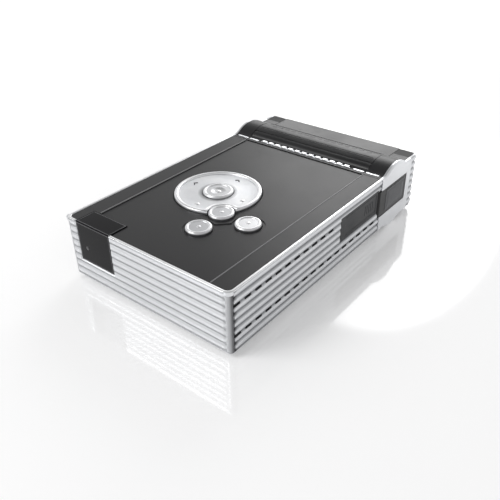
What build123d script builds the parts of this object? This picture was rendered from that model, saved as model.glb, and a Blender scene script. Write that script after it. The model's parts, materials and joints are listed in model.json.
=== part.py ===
from build123d import *
from math import cos, radians, sin, sqrt
import os

# Portable media player with a slide-out hard drive tray.
# Millimetres. X points right, Y to the rear and Z up. The origin is on the table,
# below the middle of the player.

os.makedirs("parts", exist_ok=True)

# ---- driving dimensions: outside ----
rail_room = 3.275            # between the drive and each side wall
dock_room = 14.5             # between the front face and the drive
rear_room = 15.3             # between the drive and the rear face
board_room = 8.6             # between the main board and the top cover
barrel_rise = 3.3            # crest of the rear barrel above the top cover
barrel_drop = 1.6            # belly of the rear barrel below the underside
foot_proud = 0.3             # rear feet below the belly
seam_from_rear = 33.0        # joint between the case and the drive module
barrel_from_rear = 20.5      # axis of the rear barrel
front_depth = 2.2            # front panel, over its ribs
rim_width = 1.35             # bright rim round the top cover
rim_band = 1.0               # height of the front panel's plain rim
rim_corner_radius = 2.0
post_radius = 1.5            # smooth corner posts of the front panel
front_blend = 8.0            # hollow curve from the top cover up to the barrel
rear_blend = 3.0
belly_blend = 7.0

# ---- driving dimensions: ribs and vents ----
rib_count = 8
rib_land = 0.6               # groove between two ribs
rib_foot = 0.9               # plain strip below the lowest rib
rib_depth = 0.5
rib_end_inset = 2.2          # front ribs stop short of the corners
rib_root = 0.05              # ribs are let into the plate that carries them
slot_pitch = 5.5
slot_length = 3.3
slot_height = 1.2
slot_start = 4.0             # first slot behind the front face
slot_rows = [(2, 11), (6, 17)]   # groove, counted from the top, and slots in it

# ---- driving dimensions: sheet, wall and fit ----
wall_thickness = 1.8         # side walls, over the rib tips
cover_thickness = 1.6        # top cover
bottom_thickness = 1.1
bottom_lift = 0.35           # bottom cover above the lower edge of the walls
bottom_grip = 0.5            # bottom cover held in the walls' grooves
sheet = 0.8                  # tray sheet metal
board_thickness = 1.2
plastic_wall = 1.6
cheek_proud = 0.2            # side cheeks outside the rib tips
cheek_bevel = 0.7
part_gap = 0.1               # between pieces that are fitted together
seam_gap = 0.2               # between the case and the drive module
run_gap = 0.05               # shafts and pins in their holes

# ---- driving dimensions: drive and tray ----
drive_width = 69.85          # 2.5-inch drive
drive_length = 100.2
drive_height = 9.5
drive_screw_span = 61.72
drive_screw_places = [14.0, 90.6]    # from the connector end
tray_lift = 0.35             # tray floor above the bottom cover
tray_boss = 0.5
tray_travel = 88.0
runner_lip = 1.2             # guide lips of the side walls
runner_depth = 2.0
board_clearance = 0.7        # main board above the drive

# ---- driving dimensions: window ----
window_left = 6.0            # from the left side
window_width = 18.3
window_depth = 9.5           # on the top face
window_drop = 16.8           # on the front face, from the top
window_thickness = 1.0
window_ledge = 1.0
window_gap = 0.12

# ---- driving dimensions: top controls ----
pad_x = -6.7                 # centre of the round pad
pad_from_front = 48.9
pad_radius = 17.35
pad_gap = 0.35
pad_rise = 1.0               # pad rim above the sunk panel
pad_tilt = 2.5
select_radius = 6.15
key_radius = 5.0
key_gap = 0.2
key_rise = 0.9
key_travel = 0.5
key_along = [17.0, 26.4, 26.4]       # middle, left and right key, along the diagonal
key_across = [0.0, -8.9, 8.9]
panel_sink = 0.35            # middle panel of the top cover
ridge_inset = 9.3            # its edges, from the sides
key_board_z_drop = 4.7       # key board top, below the top face
key_board_thickness = 0.8

# ---- driving dimensions: side port cover, release pads and flap ----
port_start = 66.2            # hinged end of the port cover, behind the front face
port_end = 95.4
port_grooves = (5, 2)        # it lies between these two grooves
port_over = 1.6              # and reaches this far above the upper one
port_cover_thickness = 1.15
port_pin_radius = 0.35
release_reach = 22.5         # how far the release pads reach behind the seam
release_nose = 1.4           # and in front of it
release_height = 12.0
release_centre = 15.2        # height of their middle above the table
release_travel = 0.9
release_thickness = 1.55
flap_half_width = 30.9
flap_low = 9.7               # lower edge of the flap above the table
flap_angle = 118.0           # where the knuckle meets the barrel, from the rear
knuckle_radius = 4.0
flap_pin_radius = 1.0
module_end = 6.5             # ribbed rear frame, from the rear face

# ---- places worked out from the sizes ----
body_width = drive_width + 2 * (rail_room + wall_thickness)      # over the rib tips
body_length = dock_room + drive_length + rear_room
tray_stack = tray_lift + sheet + tray_boss + drive_height + board_clearance
body_height = (bottom_lift + bottom_thickness + tray_stack + board_thickness + board_room
               + cover_thickness)
rib_pitch = (body_height + rib_land - rib_foot) / rib_count
rib_width = rib_pitch - rib_land
half_width = body_width / 2
front_y = -body_length / 2
rear_y = body_length / 2
barrel_radius = (body_height + barrel_rise + barrel_drop) / 2
barrel_z = foot_proud + barrel_radius
barrel_y = rear_y - barrel_from_rear
base_z = foot_proud + barrel_drop
top_z = base_z + body_height
seam_y = rear_y - seam_from_rear
module_y = seam_y + seam_gap
frame_y = rear_y - module_end
case_y = front_y + front_depth
inner_x = half_width - wall_thickness
rim_x = half_width - rim_width
groove_x = half_width - rib_depth
groove_y = front_y + rib_depth
rib_radius = (rib_width**2 / 4 + rib_depth**2) / (2 * rib_depth)
rib_heights = [top_z - rib_width / 2 - rib_pitch * k for k in range(rib_count)]
cover_low = top_z - cover_thickness
panel_z = top_z - panel_sink
ridge_x = half_width - ridge_inset
bottom_low = base_z + bottom_lift
bottom_high = bottom_low + bottom_thickness
tray_z = bottom_high + tray_lift
drive_z = tray_z + sheet + tray_boss
drive_top = drive_z + drive_height
drive_rear_y = rear_y - rear_room
drive_front_y = drive_rear_y - drive_length
board_z = drive_top + board_clearance
board_top = board_z + board_thickness
lip_x = inner_x - runner_depth
runner_low = board_z - runner_lip - sheet - 2 * part_gap
pad_y = front_y + pad_from_front
key_board_top = top_z - key_board_z_drop
hinge_y = barrel_y + (barrel_radius - knuckle_radius) * cos(radians(flap_angle))
hinge_z = barrel_z + (barrel_radius - knuckle_radius) * sin(radians(flap_angle))
release_low = release_centre - release_height / 2
release_high = release_centre + release_height / 2
cheek_x = half_width + cheek_proud
diagonal = cos(radians(45))
big = 200.0                  # longer than the player, for cuts that run right out


def groove_z(number):
    # Height of a groove between two ribs, counted from the top.
    return top_z - rib_width / 2 - rib_pitch * (number - 0.5)


def block(x_range, y_range, z_range, mode=Mode.ADD):
    # A box between two values on each axis.
    ranges = [sorted(pair) for pair in (x_range, y_range, z_range)]
    sizes = [pair[1] - pair[0] for pair in ranges]
    middle = tuple((pair[0] + pair[1]) / 2 for pair in ranges)
    with Locations(middle):
        Box(*sizes, mode=mode)


def rod(start, direction, radius, length, mode=Mode.ADD):
    # A cylinder that grows from start along direction.
    with Locations(Plane(origin=start, z_dir=direction)):
        Cylinder(radius, length, align=(Align.CENTER, Align.CENTER, Align.MIN), mode=mode)


def both(value):
    return (-value, value)


def finish(builder, name):
    builder.part.label = name
    export_step(builder.part, f"parts/{name}.step")


# ---- shared forms ----
def rounded_rib(length):
    # A round bar with ball ends, of which only rib_depth stands out of the plate.
    # It lies along X and faces -Y, and its tip is at y = 0.
    bar = length - rib_width
    with BuildPart() as rib:
        with Locations((0, rib_radius, 0)):
            Cylinder(rib_radius, bar, rotation=(0, 90, 0))
        with Locations((-bar / 2, rib_radius, 0), (bar / 2, rib_radius, 0)):
            Sphere(rib_radius)
        with Locations((0, (rib_depth + rib_root) / 2, 0)):
            Box(length + rib_width, rib_depth + rib_root, rib_width, mode=Mode.INTERSECT)
    return rib.part


def wall_blank():
    # The right-hand side wall: a ribbed extrusion with guide lips for the tray.
    wall_mid_z = (base_z + top_z) / 2
    with BuildPart() as wall:
        with BuildSketch(Plane.XZ.offset(-(case_y + part_gap))):
            with Locations([(half_width - rib_radius, z) for z in rib_heights]):
                Circle(rib_radius)
            with Locations((half_width - (rib_depth + rib_root) / 2, wall_mid_z)):
                Rectangle(rib_depth + rib_root, body_height, mode=Mode.INTERSECT)
            with Locations(((inner_x + groove_x) / 2, wall_mid_z)):
                Rectangle(groove_x - inner_x, body_height)
            lip_middles = [board_z - runner_lip / 2, runner_low - runner_lip / 2]
            with Locations([((lip_x + inner_x) / 2, z) for z in lip_middles]):
                Rectangle(runner_depth, runner_lip)
            # seat of the top cover
            with Locations((rim_x, cover_low)):
                Rectangle(wall_thickness, cover_thickness + 1, mode=Mode.SUBTRACT,
                          align=(Align.MAX, Align.MIN))
            # groove of the bottom cover
            with Locations((inner_x, (bottom_low + bottom_high) / 2)):
                Rectangle(2 * (bottom_grip + part_gap), bottom_thickness + part_gap,
                          mode=Mode.SUBTRACT)
        extrude(amount=-(seam_y - case_y - part_gap))
        # vent slots
        for groove, count in slot_rows:
            places = [front_y + slot_start + slot_pitch * k for k in range(count)]
            with Locations([(half_width - rib_depth, y, groove_z(groove)) for y in places]):
                Box(2 * wall_thickness, slot_length, slot_height, mode=Mode.SUBTRACT)
        # room for the nose of a release pad
        block((cheek_x - release_thickness - release_travel - part_gap, cheek_x + 1),
              (seam_y - release_nose - seam_gap, seam_y + 1),
              (release_low - seam_gap, release_high + seam_gap), Mode.SUBTRACT)
    return wall.part


def module_outline(rear_end):
    # Side view of the drive module, in Y and Z: a slab with the barrel through it.
    # The corners where the barrel leaves the slab are hollow curves.
    corners = [(-1, top_z, front_blend), (1, top_z, rear_blend),
               (-1, base_z, belly_blend), (1, base_z, belly_blend)]
    with BuildSketch() as outline:
        with Locations(((module_y + rear_end) / 2, (base_z + top_z) / 2)):
            Rectangle(rear_end - module_y, body_height)
        with Locations((barrel_y, barrel_z)):
            Circle(barrel_radius)
        for side, level, radius in corners:
            corner = (barrel_y + side * sqrt(barrel_radius**2 - (level - barrel_z)**2), level)
            fillet(outline.vertices().sort_by_distance(corner)[0], radius)
        with Locations(((module_y + rear_end) / 2, barrel_z)):
            Rectangle(rear_end - module_y, 4 * barrel_radius, mode=Mode.INTERSECT)
    return outline.sketch


def placed(sketch, x):
    # A side view moved to the plane at x.
    return Plane.YZ.offset(x) * sketch


def swung_cut(radius, half, low, rear):
    # The space of the hinged flap: round its knuckle, and all behind and above that.
    rod((-half, hinge_y, hinge_z), (1, 0, 0), radius, 2 * half, Mode.SUBTRACT)
    block(both(half), (hinge_y, rear), (low, top_z + barrel_radius), Mode.SUBTRACT)


def key_place(along, across):
    # The keys lie on the diagonal that runs from the pad to the front right corner.
    return (pad_x + (along + across) * diagonal, pad_y + (across - along) * diagonal)


key_places = [key_place(a, b) for a, b in zip(key_along, key_across)]

# ---- front panel ----
window_x = (-half_width + window_left, -half_width + window_left + window_width)
window_low = top_z - window_drop
window_back = front_y + window_depth
window_pocket_y = groove_y + window_thickness + part_gap
pillar_x = 33.3
pillar_width = 4.6
pillar_depth = 4.2
pillar_y = case_y + pillar_depth / 2
case_screw_radius = 0.9
case_screw_head = 1.8

with BuildPart() as front_panel:
    with BuildSketch(Plane.XY.offset(base_z)) as plate:
        with Locations((0, (groove_y + case_y) / 2)):
            Rectangle(2 * groove_x, case_y - groove_y)
        fillet(plate.vertices().group_by(Axis.Y)[0], post_radius)
    extrude(amount=body_height)
    with BuildSketch(Plane.XY.offset(top_z - rim_band)) as rim:
        with Locations((0, (front_y + case_y) / 2)):
            Rectangle(body_width, case_y - front_y)
        fillet(rim.vertices().group_by(Axis.Y)[0], rim_corner_radius)
    extrude(amount=rim_band)
    with Locations([(0, front_y, z) for z in rib_heights]):
        add(rounded_rib(body_width - 2 * rib_end_inset))
    # pillars for the case screws
    for side in (-1, 1):
        block((side * pillar_x - pillar_width / 2, side * pillar_x + pillar_width / 2),
              (case_y, case_y + pillar_depth), (bottom_high + run_gap, board_z - seam_gap))
        rod((side * pillar_x, pillar_y, base_z), (0, 0, 1), case_screw_radius + run_gap, 7.5,
            Mode.SUBTRACT)
    # seat of the top cover
    block(both(rim_x), (front_y + rim_width, case_y + 1), (cover_low, top_z + 1), Mode.SUBTRACT)
    # seat of the bottom cover
    block(both(inner_x + bottom_grip + part_gap), (case_y - bottom_grip, case_y),
          (bottom_low - run_gap, bottom_high + run_gap), Mode.SUBTRACT)
    # window: a pocket whose walls slope outwards through the ribs, and a hole behind
    with BuildSketch(Plane.XZ.offset(-groove_y)):
        with Locations((sum(window_x) / 2, window_low)):
            Rectangle(window_width, 2 * window_drop, align=(Align.CENTER, Align.MIN))
    extrude(amount=rib_depth + 0.2, taper=-50, mode=Mode.SUBTRACT)
    block(window_x, (front_y, window_pocket_y), (window_low, top_z + 1), Mode.SUBTRACT)
    block((window_x[0] + window_ledge, window_x[1] - window_ledge), (front_y, case_y + 1),
          (window_low + window_ledge, top_z + 1), Mode.SUBTRACT)
finish(front_panel, "front_panel")

# ---- side walls ----
port_x = groove_x                                # outer face of the port cover
port_low = groove_z(port_grooves[0])
port_high = groove_z(port_grooves[1]) + port_over
port_pin_x = port_x - port_cover_thickness / 2
port_pin_y = front_y + port_start + port_cover_thickness / 2
port_rear_y = front_y + port_end
port_hole_y = port_pin_y - port_cover_thickness / 2 - seam_gap
right_blank = wall_blank()
left_blank = mirror(wall_blank(), about=Plane.YZ)
port_pin_reach = 1.2                             # pin let into the wall at each end

with BuildPart() as right_wall:
    add(right_blank)
    with BuildSketch(Plane.YZ.offset(groove_x)):
        with Locations((port_hole_y, port_low)):
            Rectangle(seam_y - port_hole_y + 5, port_high - port_low, align=(Align.MIN, Align.MIN))
    extrude(amount=rib_depth + 0.2, taper=-50, mode=Mode.SUBTRACT)
    block((inner_x, groove_x + 0.1), (port_hole_y, port_rear_y + seam_gap), (port_low, port_high),
          Mode.SUBTRACT)
    rod((port_pin_x, port_pin_y, port_low - port_pin_reach), (0, 0, 1), port_pin_radius + run_gap,
        port_high - port_low + 2 * port_pin_reach, Mode.SUBTRACT)
finish(right_wall, "right_wall")

# headphone and line jacks in the left wall
jack_count = 3
jack_pitch = 9.0
jack_first = 20.0            # first jack behind the front face
jack_bore = 1.8              # takes a 3.5 mm plug
jack_body = (7.0, 5.0)       # along the wall and high
jack_length = 12.0
board_half = inner_x - part_gap      # main board, between the side walls
jack_z = board_top + jack_body[1] / 2
jack_places = [front_y + jack_first + jack_pitch * k for k in range(jack_count)]
jack_plate_margin = 5.2
jack_plate_y = (jack_places[0] - jack_plate_margin, jack_places[-1] + jack_plate_margin)
jack_plate_thickness = 0.7
jack_plate_x = groove_x - jack_plate_thickness

with BuildPart() as left_wall:
    add(left_blank)
    with BuildSketch(Plane.YZ.offset(-groove_x)):
        with Locations((sum(jack_plate_y) / 2, (port_low + port_high) / 2)):
            Rectangle(jack_plate_y[1] - jack_plate_y[0], port_high - port_low)
    extrude(amount=-(rib_depth + 0.2), taper=-50, mode=Mode.SUBTRACT)
    block((-jack_plate_x, -half_width), jack_plate_y, (port_low, port_high), Mode.SUBTRACT)
    for y in jack_places:
        rod((-inner_x + 1, y, jack_z), (-1, 0, 0), jack_bore + 0.8, 4, Mode.SUBTRACT)
finish(left_wall, "left_wall")

with BuildPart() as jack_plate:
    block((-jack_plate_x - run_gap, -groove_x), (jack_plate_y[0] + part_gap, jack_plate_y[1] - part_gap),
          (port_low + part_gap, port_high - part_gap))
    fillet(jack_plate.edges().filter_by(Axis.X), 0.6)
    for y in jack_places:
        rod((-inner_x, y, jack_z), (-1, 0, 0), jack_bore + 0.4, 4, Mode.SUBTRACT)
finish(jack_plate, "jack_plate")

# ---- top cover ----
cover_front_y = front_y + rim_width + part_gap
cover_rear_y = seam_y
cover_corner = 1.4
key_link = 2.2               # half width of the dark groove that links the keys
key_link_sink = 0.3
boss_radius = 1.9
boss_inset = 2.2
jack_inner = board_half - jack_length
key_board_x = (0.6 - jack_inner, jack_inner - 1.2)   # between the jacks of both sides
key_board_middle = (sum(key_board_x) / 2, -21.8)
key_board_size = (key_board_x[1] - key_board_x[0], 53.0)
boss_places = [(key_board_middle[0] + side * (key_board_size[0] / 2 - boss_inset),
                key_board_middle[1] + end * (key_board_size[1] / 2 - boss_inset))
               for side in (-1, 1) for end in (-1, 1)]
boss_screw_radius = 0.7
brace_screw_places = [(-26.0, 28.6), (26.0, 28.6)]
brace_screw_radius = 1.0

with BuildPart() as top_cover:
    with BuildSketch(Plane.XY.offset(cover_low)) as sheet_outline:
        with Locations((0, (cover_front_y + cover_rear_y) / 2)):
            Rectangle(2 * (rim_x - part_gap), cover_rear_y - cover_front_y)
        fillet(sheet_outline.vertices().group_by(Axis.Y)[0], cover_corner)
    extrude(amount=cover_thickness)
    # sunk middle panel with sloping edges
    with BuildSketch(Plane.XY.offset(panel_z)):
        with Locations((0, cover_front_y - 5)):
            Rectangle(2 * ridge_x, body_length, align=(Align.CENTER, Align.MIN))
    extrude(amount=panel_sink + 0.1, taper=-45, mode=Mode.SUBTRACT)
    # the window wraps over the front edge
    block((window_x[0], window_x[1]), (front_y, window_back), (0, top_z + 1), Mode.SUBTRACT)
    # groove round the keys
    with BuildSketch(Plane.XY.offset(panel_z - key_link_sink)):
        with Locations(key_places):
            Circle(key_radius + 1.2)
        with Locations(Location((*key_place(key_along[1], 0), 0), 45)):
            Rectangle(key_across[2] - key_across[1], 2 * key_link)
    extrude(amount=key_link_sink + 1, mode=Mode.SUBTRACT)
    # holes for the pad and the keys
    rod((pad_x, pad_y, 0), (0, 0, 1), pad_radius + pad_gap, big, Mode.SUBTRACT)
    for place in key_places:
        rod((*place, 0), (0, 0, 1), key_radius + key_gap, big, Mode.SUBTRACT)
    # bosses for the key board
    for place in boss_places:
        rod((*place, key_board_top), (0, 0, 1), boss_radius, cover_low - key_board_top)
        rod((*place, key_board_top - 1), (0, 0, 1), boss_screw_radius + run_gap, 3.6, Mode.SUBTRACT)
    # blind holes for the brace screws
    for place in brace_screw_places:
        rod((*place, cover_low - 1), (0, 0, 1), brace_screw_radius + run_gap, 1.9, Mode.SUBTRACT)
finish(top_cover, "top_cover")

# ---- window and what looks through it ----
with BuildPart() as ir_window:
    block((window_x[0] + window_gap, window_x[1] - window_gap), (groove_y, groove_y + window_thickness),
          (window_low + window_gap, top_z))
    block((window_x[0] + window_gap, window_x[1] - window_gap), (groove_y, window_back - window_gap),
          (cover_low, top_z))
    fillet(ir_window.edges().group_by(Axis.Z)[-1].sort_by(Axis.Y)[0], 0.4)
finish(ir_window, "ir_window")

ir_board_y = case_y + 2.2
with BuildPart() as ir_board:
    block((window_x[0] + 1.5, window_x[1] - 1.5), (ir_board_y, ir_board_y + 0.8),
          (board_top, cover_low - 0.6))
finish(ir_board, "ir_board")

# the infrared receiver and, left of it, the status lamp
with BuildPart() as window_sensors:
    receiver_place = (window_x[0] + 8.6, ir_board_y, board_top + 3.4)
    lamp_place = (window_x[0] + 3.6, ir_board_y, board_top + 2.4)
    with Locations((receiver_place[0], ir_board_y - 0.65, receiver_place[2])):
        Box(5.6, 1.3, 5.2)
    fillet(window_sensors.edges().filter_by(Axis.Y), 0.4)
    with BuildSketch(Plane.XZ.offset(1.3 - ir_board_y)):
        with Locations((receiver_place[0], receiver_place[2])):
            Circle(1.7)
        with Locations((lamp_place[0], lamp_place[2])):
            Circle(1.0)
    extrude(amount=1.1, taper=25)
    rod(lamp_place, (0, -1, 0), 1.0, 1.3)
finish(window_sensors, "window_sensors")

# ---- bottom cover, feet and case screws ----
front_foot_x = 29.0
front_foot_y = front_y + 11.0
front_foot_radius = 4.5
foot_pocket = 0.6
grille_rows = 6
grille_columns = 9

with BuildPart() as bottom_cover:
    block(both(inner_x + bottom_grip), (case_y - bottom_grip + run_gap, seam_y),
          (bottom_low, bottom_high))
    with Locations((0, -12, bottom_low)):
        with GridLocations(5.0, 7.0, grille_columns, grille_rows):
            Box(1.2, 5.0, 4 * bottom_thickness, mode=Mode.SUBTRACT)
    for side in (-1, 1):
        rod((side * front_foot_x, front_foot_y, bottom_low - 1), (0, 0, 1), front_foot_radius + part_gap,
            1 + foot_pocket, Mode.SUBTRACT)
        with Locations(Plane((side * pillar_x, pillar_y, bottom_low), z_dir=(0, 0, -1))):
            CounterSinkHole(case_screw_radius + 2 * run_gap, case_screw_head + run_gap, depth=4)
finish(bottom_cover, "bottom_cover")

with BuildPart() as front_feet:
    for side in (-1, 1):
        with Locations(Location((side * front_foot_x, front_foot_y, 0))):
            Cylinder(front_foot_radius, bottom_low + foot_pocket - run_gap,
                     align=(Align.CENTER, Align.CENTER, Align.MIN))
    fillet(front_feet.edges().group_by(Axis.Z)[0], 0.5)
finish(front_feet, "front_feet")

with BuildPart() as case_screws:
    for side in (-1, 1):
        rod((side * pillar_x, pillar_y, bottom_low), (0, 0, 1), case_screw_radius, 6.0)
        with Locations((side * pillar_x, pillar_y, bottom_low)):
            Cone(case_screw_head, case_screw_radius, case_screw_head - case_screw_radius,
                 align=(Align.CENTER, Align.CENTER, Align.MIN))
        with Locations((side * pillar_x, pillar_y, bottom_low)):
            Box(0.4, 1.8, 0.6, mode=Mode.SUBTRACT)
            Box(1.8, 0.4, 0.6, mode=Mode.SUBTRACT)
finish(case_screws, "case_screws")

# ---- main board and its parts ----
brace_y = seam_y - 1.1
board_front_y = case_y + pillar_depth + seam_gap
dock_half = 22.0

with BuildPart() as main_board:
    block(both(board_half), (board_front_y, brace_y - 0.5), (board_z, board_top))
    block((window_x[0] + 0.7, dock_half + 2), (case_y + seam_gap, board_front_y), (board_z, board_top))
finish(main_board, "main_board")

with BuildPart() as processor:
    with Locations((-4, 16, board_top)):
        Box(16, 16, 1.2, align=(Align.CENTER, Align.CENTER, Align.MIN))
    chamfer(processor.edges().group_by(Axis.Z)[-1], 0.2)
finish(processor, "processor")

sink_size = 20.0
sink_z = board_top + 1.2
sink_fins = 9
with BuildPart() as heat_sink:
    with Locations((-4, 16, sink_z)):
        Box(sink_size, sink_size, 1.2, align=(Align.CENTER, Align.CENTER, Align.MIN))
        with GridLocations((sink_size - 1) / (sink_fins - 1), 1, sink_fins, 1):
            Box(1.0, sink_size, cover_low - sink_z - 0.8, align=(Align.CENTER, Align.CENTER, Align.MIN))
finish(heat_sink, "heat_sink")

memory_size = (12.0, 8.0, 1.0)
memory_x = part_gap + memory_size[0] / 2 - jack_inner    # beside the left jacks
with BuildPart() as board_chips:
    with Locations((memory_x, -22, board_top), (memory_x, -34, board_top), (-1, -28, board_top),
                   (17, -30, board_top)):
        Box(*memory_size, align=(Align.CENTER, Align.CENTER, Align.MIN))
    with Locations((-18, -8, board_top), (4, -10, board_top), (22, 10, board_top)):
        Box(7.0, 7.0, 0.9, align=(Align.CENTER, Align.CENTER, Align.MIN))
    chamfer(board_chips.edges().group_by(Axis.Z)[-1], 0.2)
finish(board_chips, "board_chips")

with BuildPart() as capacitors:
    with Locations((-30, 8, board_top), (-30, 15, board_top), (-30, 22, board_top), (15, 10, board_top),
                   (15, 17, board_top)):
        Cylinder(2.5, 5.4, align=(Align.CENTER, Align.CENTER, Align.MIN))
    fillet(capacitors.edges().group_by(Axis.Z)[-1], 0.4)
finish(capacitors, "capacitors")

# sockets behind the port cover
usb_size = (7.7, 9.0, 3.9)   # along the wall, deep and high
usb_y = port_pin_y + 8.2
side_jack_y = usb_y + 11.0


def mini_socket(width, height, depth):
    # A small folded-metal socket with its mouth on the plane y = 0, facing -Y.
    # The lower corners are drawn in, and a tongue stands inside.
    shell = 0.3
    with BuildPart() as socket:
        with BuildSketch(Plane.XZ) as mouth:
            Rectangle(width, height, align=(Align.CENTER, Align.MIN))
            chamfer(mouth.vertices().group_by(Axis.Y)[0], 1.0)
        extrude(amount=-depth)
        with BuildSketch(Plane.XZ) as hole:
            with Locations((0, shell)):
                Rectangle(width - 2 * shell, height - 2 * shell, align=(Align.CENTER, Align.MIN))
            chamfer(hole.vertices().group_by(Axis.Y)[0], 0.9)
        extrude(amount=-(depth - 1.0), mode=Mode.SUBTRACT)
        block(both(width / 4), (1.0, depth - 1), (height * 0.45, height * 0.6))
    return socket.part


usb_socket_form = mini_socket(usb_size[0], usb_size[2], usb_size[1])
with BuildPart() as usb_socket:
    with Locations(Location((board_half, usb_y, board_top), (0, 0, 90))):
        add(usb_socket_form)
finish(usb_socket, "usb_socket")

with BuildPart() as av_jacks:
    mouths = [(-board_half, y, 1) for y in jack_places] + [(board_half, side_jack_y, -1)]
    for x, y, inward in mouths:
        block((x, x + inward * jack_length), (y - jack_body[0] / 2, y + jack_body[0] / 2),
              (board_top, board_top + jack_body[1]))
    fillet(av_jacks.edges().filter_by(Axis.X).group_by(Axis.Z)[-1], 0.8)
    for x, y, inward in mouths:
        rod((x - inward, y, jack_z), (inward, 0, 0), jack_bore, jack_length + 2, Mode.SUBTRACT)
finish(av_jacks, "av_jacks")

# ---- dock socket under the front of the main board ----
dock_y = (case_y + seam_gap, case_y + 4.6)
dock_tongue = 0.9
dock_tongue_z = 9.0
dock_slot_gap = 0.15
dock_entry = 2.4             # how far the tray's tongue goes in
with BuildPart() as dock_socket:
    block(both(dock_half), dock_y, (5.5, board_z))
    slot_half = dock_tongue / 2 + dock_slot_gap
    block(both(dock_half - 2 + dock_slot_gap), (dock_y[1] - dock_entry - dock_slot_gap, dock_y[1] + 1),
          (dock_tongue_z - slot_half, dock_tongue_z + slot_half), Mode.SUBTRACT)
finish(dock_socket, "dock_socket")

# ---- rear brace above the tray ----
brace_sheet = 1.0
brace_half = cheek_x - release_thickness - release_travel - seam_gap     # clear of pressed pads
with BuildPart() as rear_brace:
    block(both(brace_half), (brace_y, brace_y + brace_sheet), (board_z, cover_low))
    block(both(brace_half), (brace_y - 4.5, brace_y + brace_sheet), (cover_low - brace_sheet, cover_low))
    with Locations((0, brace_y, (board_z + cover_low) / 2)):
        with GridLocations(7.0, 1, 9, 1):
            Box(4.0, 4 * brace_sheet, 3.6, mode=Mode.SUBTRACT)
    for place in brace_screw_places:
        rod((*place, cover_low - 3), (0, 0, 1), brace_screw_radius + run_gap, 3.5, Mode.SUBTRACT)
finish(rear_brace, "rear_brace")

# ---- key board, switches and pad post ----
key_board_low = key_board_top - key_board_thickness
with BuildPart() as key_board:
    with BuildSketch(Plane.XY.offset(key_board_low)) as outline:
        with Locations(key_board_middle):
            Rectangle(*key_board_size)
        chamfer(outline.vertices(), 2)
    extrude(amount=key_board_thickness)
    for place in boss_places:
        rod((*place, 0), (0, 0, 1), boss_screw_radius + 2 * run_gap, big, Mode.SUBTRACT)
finish(key_board, "key_board")

with BuildPart() as cover_screws:
    for place in boss_places:
        rod((*place, key_board_low - 0.9), (0, 0, 1), 1.5, 0.9)
        rod((*place, key_board_low), (0, 0, 1), boss_screw_radius, key_board_thickness + 2.2)
    for place in brace_screw_places:
        rod((*place, cover_low - brace_sheet - 1.2), (0, 0, 1), 1.8, 1.2)
        rod((*place, cover_low - brace_sheet), (0, 0, 1), brace_screw_radius, 1.8)
finish(cover_screws, "cover_screws")

switch_size = 3.6
switch_height = 0.9
switch_button = 0.4
rock_switch_radius = 13.2
rock_switch_button = 1.75    # long plungers under the rocking pad
with BuildPart() as key_switches:
    places = [(pad_x, pad_y), *key_places]
    with Locations([(*place, key_board_top) for place in places]):
        Box(switch_size, switch_size, switch_height, align=(Align.CENTER, Align.CENTER, Align.MIN))
        Cylinder(0.9, switch_height + switch_button, align=(Align.CENTER, Align.CENTER, Align.MIN))
    with Locations((pad_x, pad_y, key_board_top)):
        with PolarLocations(rock_switch_radius, 4):
            Box(switch_size, switch_size, switch_height, align=(Align.CENTER, Align.CENTER, Align.MIN))
            Cylinder(0.9, switch_height + rock_switch_button, align=(Align.CENTER, Align.CENTER, Align.MIN))
finish(key_switches, "key_switches")

key_flex_x = key_board_x[1] - 2.4
key_flex_socket = 1.4        # height of its socket on the main board
with BuildPart() as key_flex:
    block((key_flex_x - 1.5, key_flex_x + 1.5), (-12.0, -2.0), (board_top, board_top + key_flex_socket))
    block((key_flex_x - 0.2, key_flex_x), (-11.0, -3.0), (board_top + key_flex_socket - 0.1, key_board_low))
finish(key_flex, "key_flex")

post_bore = 6.75
post_outer = 7.9
gimbal_z = key_board_top + 2.6
gimbal_inner = 8.2
gimbal_outer = 9.8
gimbal_height = 1.3
gimbal_pin = 0.4
skirt_inner = 10.1
skirt_outer = 11.3
pad_low = panel_z - 0.35     # underside of the pad's disc
rock_axis = (diagonal, -diagonal, 0)
tilt_axis = (diagonal, diagonal, 0)

with BuildPart() as pad_post:
    rod((pad_x, pad_y, key_board_top), (0, 0, 1), post_outer, gimbal_z + 0.75 - key_board_top)
    rod((pad_x, pad_y, key_board_top - 1), (0, 0, 1), post_bore, big, Mode.SUBTRACT)
    with Locations(Plane((pad_x, pad_y, gimbal_z), z_dir=rock_axis)):
        Cylinder(gimbal_pin + run_gap, 2 * gimbal_inner, mode=Mode.SUBTRACT)
finish(pad_post, "pad_post")

with BuildPart() as pad_gimbal:
    with BuildSketch(Plane.XY.offset(gimbal_z - gimbal_height / 2)):
        with Locations((pad_x, pad_y)):
            Circle(gimbal_outer)
            Circle(gimbal_inner, mode=Mode.SUBTRACT)
    extrude(amount=gimbal_height)
    for side in (-1, 1):
        for axis, near, far in ((rock_axis, post_bore + 0.3, gimbal_inner + 0.3),
                                (tilt_axis, gimbal_outer - 0.5, skirt_outer - 0.2)):
            start = (pad_x + side * axis[0] * near, pad_y + side * axis[1] * near, gimbal_z)
            rod(start, tuple(side * a for a in axis), gimbal_pin, far - near)
finish(pad_gimbal, "pad_gimbal")

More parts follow.
